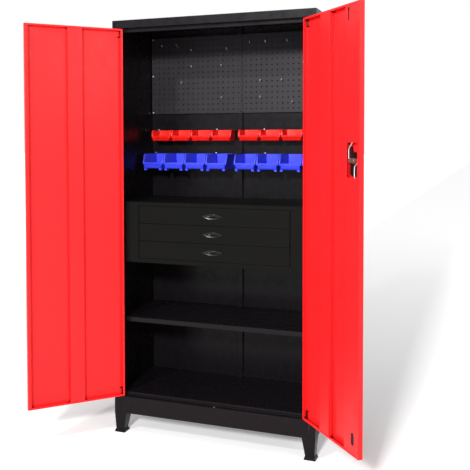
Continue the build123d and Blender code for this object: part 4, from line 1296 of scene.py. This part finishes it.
    def handle(self) -> None:
        """Make the lever with its stem and spindle, and the key barrel in its hub."""
        mould = self.mould()
        lean = tangent_lean(self.lever_length, self.lever_tip, self.lever_hub)
        outline = arc((self.lever_length, 0), self.lever_tip, -lean, lean, self.lever_steps)
        outline += arc((0, 0), self.lever_hub, lean, 360 - lean, self.lever_steps)
        rows = []
        for level, share in zip(self.lever_levels, self.lever_shares):
            along = (1 + share) / 2
            rows.append([(self.across - x * along, -level, self.height + y * share) for x, y in outline])
        mould.skin(rows)
        mould.turned(self.stem, (self.across, 0, self.height), (0, -1, 0))
        mould.turned(self.spindle, (self.across, 0, self.height), (0, 1, 0))
        self.shop.stand_in(mould.piece("lever_handle", crease=self.lever_crease), "lock_handle")
        barrel = self.mould()
        long, half = self.keyway
        keyway = [(long, half), (-long, half), (-long, -half), (long, -half)]
        foot = (self.across, -self.barrel_foot, self.height)
        barrel.head(foot, (0, -1, 0), self.barrel, keyway, self.keyway_depth)
        self.shop.add(barrel.piece("key_barrel"), Slot.CHROME, "lock_handle")

    def peep_plug(self) -> None:
        """Make the moulded plug snapped into the slot at the head of the stile: a spine, ribs and a bead."""
        mould = self.mould()
        across, face, proud = self.peep_across, self.stile_face, self.peep_proud
        half, tall = self.peep_half
        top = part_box("right_door_skin")[1].z - self.peep_drop
        mould.block((across - half, face - self.peep_depth, top - tall), (across + half, face, top))
        wide, tall = self.peep_rib
        for step in range(self.peep_ribs):
            z = top - self.peep_first - step * self.peep_pitch
            mould.block((across - wide, face, z - tall), (across + wide, face + proud, z + tall))
        rows = []
        for rise, share in self.bead_lines:
            oval = rounded_rectangle(*(share * size for size in self.bead))
            rows.append([(across + x, face + rise * proud, top + z) for x, z in oval])
        mould.skin(rows)
        self.shop.add(mould.piece("peep_slot_plug", edge=self.peep_edge), Slot.MOULDED, self.door.name)

    def build(self) -> None:
        """Dress the stile and guides and make the moving pieces."""
        self.peep_plug()
        self.shop.keep("right_door_lock_stile")
        self.shop.keep("rod_guides", edge=self.guide_edge)
        self.case()
        self.cam()
        self.rod("lock_rod_upper", self.upper_line, 1)
        self.rod("lock_rod_lower", self.lower_line, -1)
        self.handle()


@dataclass(frozen=True)
class Lamp:
    """A soft rectangular lamp: where it hangs, what it looks at, its width and height, and its power."""

    name: str
    place: Point
    aim: Point
    size: Flat
    watts: float

    def hang(self) -> None:
        """Add the lamp to the scene."""
        data = bpy.data.lights.new(self.name, "AREA")
        data.shape = "RECTANGLE"
        data.size, data.size_y = self.size
        data.energy = self.watts
        lamp = bpy.data.objects.new(self.name, data)
        lamp.location = self.place
        lamp.rotation_euler = (Vector(self.aim) - Vector(self.place)).to_track_quat("-Z", "Y").to_euler()
        bpy.context.scene.collection.objects.link(lamp)


# A key far in front, a small lamp high on the left, a fill at each side and one above
LAMPS = (
    Lamp("key", (0.6, -6.0, 3.0), (0, 0, 0.8), (0.6, 0.6), 415),
    Lamp("high_left", (-1.1, -3.6, 3.4), (0, 0, 0.9), (0.2, 0.2), 62),
    Lamp("fill_left", (-3.4, -2.4, 1.8), (0.4, -0.3, 0.9), (1.6, 2.4), 14),
    Lamp("fill_right", (3.4, -2.0, 2.4), (-0.5, 0, 1.4), (1.8, 1.4), 30),
    Lamp("above", (0.0, -0.8, 4.2), (0, 0, 0), (2.5, 2.5), 18),
)


@dataclass
class Studio:
    """White floor and backdrop, the lamps and a camera at the photograph's viewing angle."""

    eye: Point = (1.1375, -3.1294, 1.2856)
    yaw: float = math.radians(20.857)
    pitch: float = math.radians(2.07)
    roll: float = math.radians(-0.128)
    focal_pixels: float = 757.95
    shift_pixels: Flat = (-20.75, -68.0)
    image_pixels: float = 470.0
    sensor_width: float = 36.0
    clip_end: float = 100.0
    ambient: float = 0.14
    floor_half: float = 60.0
    # Distances behind the middle of the cabinet between which the floor's shadow fades away, how fast it
    # does, the floor's own light at both, how far to each side the shadow reaches, and the light beyond it
    fade: Flat = (0.0, 8.0)
    fade_power: float = 2.0
    floor_light: Flat = (0.28, 0.80)
    sides: Flat = (0.60, 0.78)
    side_light: float = 0.14
    # Distances to the sides and in front between which the floor turns white, and how much light that adds
    far: Flat = (2.5, 6.5)
    far_light: float = 0.65

    def camera(self) -> None:
        """Create the camera and make it the scene's own."""
        data = bpy.data.cameras.new("camera")
        data.sensor_width = self.sensor_width
        data.lens = self.focal_pixels * self.sensor_width / self.image_pixels
        data.shift_x = -self.shift_pixels[0] / self.image_pixels
        data.shift_y = self.shift_pixels[1] / self.image_pixels
        data.clip_end = self.clip_end
        eye = bpy.data.objects.new("camera", data)
        level = math.cos(self.pitch)
        forward = Vector((-math.sin(self.yaw) * level, math.cos(self.yaw) * level, -math.sin(self.pitch)))
        right = Vector((math.cos(self.yaw), math.sin(self.yaw), 0))
        up = right.cross(forward)
        turn = Matrix((right, up, -forward)).transposed() @ Matrix.Rotation(self.roll, 3, "Z")
        eye.matrix_world = Matrix.Translation(self.eye) @ turn.to_4x4()
        bpy.context.scene.collection.objects.link(eye)
        bpy.context.scene.camera = eye

    def world(self) -> None:
        """White where it is looked at, and a plain grey light elsewhere."""
        world = bpy.data.worlds.new("studio")
        bpy.context.scene.world = world
        world.use_nodes = True
        wiring = Wiring(world.node_tree)
        back = wiring.tree.nodes["Background"]
        back.inputs["Color"].default_value = (1, 1, 1, 1)
        wiring.feed(back.inputs["Strength"], wiring.ranged(wiring.looked_at(), (0, 1), (self.ambient, 1)))

    def glow(self, sheet: NodeSheet) -> Socket:
        """Wire up the floor's own light, which is least near the cabinet, where its shadow lies.

        Args:
            sheet: The floor's material.

        Returns:
            The strength of that light.
        """
        spot = sheet.node("SeparateXYZ", Vector=sheet.place).outputs
        aside = sheet.reckon("ABSOLUTE", spot["X"])
        near = sheet.reckon("POWER", sheet.ranged(spot["Y"], self.fade, (1, 0)), self.fade_power)
        behind = sheet.ranged(near, (1, 0), self.floor_light)
        beside = sheet.ranged(aside, self.sides, (0, self.side_light))
        away = sheet.ranged(aside, self.far, (0, self.far_light))
        ahead = sheet.ranged(sheet.reckon("MULTIPLY", spot["Y"], -1.0), self.far, (0, self.far_light))
        return sheet.reckon("ADD", sheet.reckon("ADD", behind, beside), sheet.reckon("ADD", away, ahead))

    def floor(self) -> None:
        """Lay the floor, which keeps the shadow near the cabinet and fades to white behind it."""
        mesh = bpy.data.meshes.new("floor")
        half = self.floor_half
        corners = [(-half, -half, 0), (half, -half, 0), (half, half, 0), (-half, half, 0)]
        mesh.from_pydata(corners, [], [(0, 1, 2, 3)])
        floor = bpy.data.objects.new("floor", mesh)
        bpy.context.scene.collection.objects.link(floor)
        sheet = NodeSheet("pale_floor")
        sheet.set(
            Base_Color=(0.95, 0.95, 0.95, 1),
            Roughness=0.95,
            Specular_IOR_Level=0.1,
            Emission_Color=(1, 1, 1, 1),
            Emission_Strength=sheet.reckon("MULTIPLY", self.glow(sheet), sheet.looked_at()),
        )
        mesh.materials.append(sheet.material)

    def build(self) -> None:
        """Set up everything that isn't the cabinet."""
        bpy.context.scene.view_settings.view_transform = "Standard"
        self.camera()
        for lamp in LAMPS:
            lamp.hang()
        self.world()
        self.floor()


def main() -> None:
    """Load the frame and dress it."""
    logging.basicConfig(level=logging.INFO, format="%(name)s: %(message)s")
    shop = Workshop(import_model())
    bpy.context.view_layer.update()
    Carcass(shop).build()
    BackWall(shop).build()
    BinRow(shop, BinShape("red", depth=84 * MM, height=50 * MM, front=24 * MM, footed=False)).build()
    BinRow(shop, BinShape("blue", depth=147 * MM, height=68 * MM, front=29 * MM, footed=True)).build()
    DrawerChest(shop).build()
    doors = {side: Door(shop, side) for side in Side}
    for door in doors.values():
        door.build()
    RodLock(shop, doors[Side.RIGHT]).build()
    Studio().build()


if __name__ == "__main__":
    main()
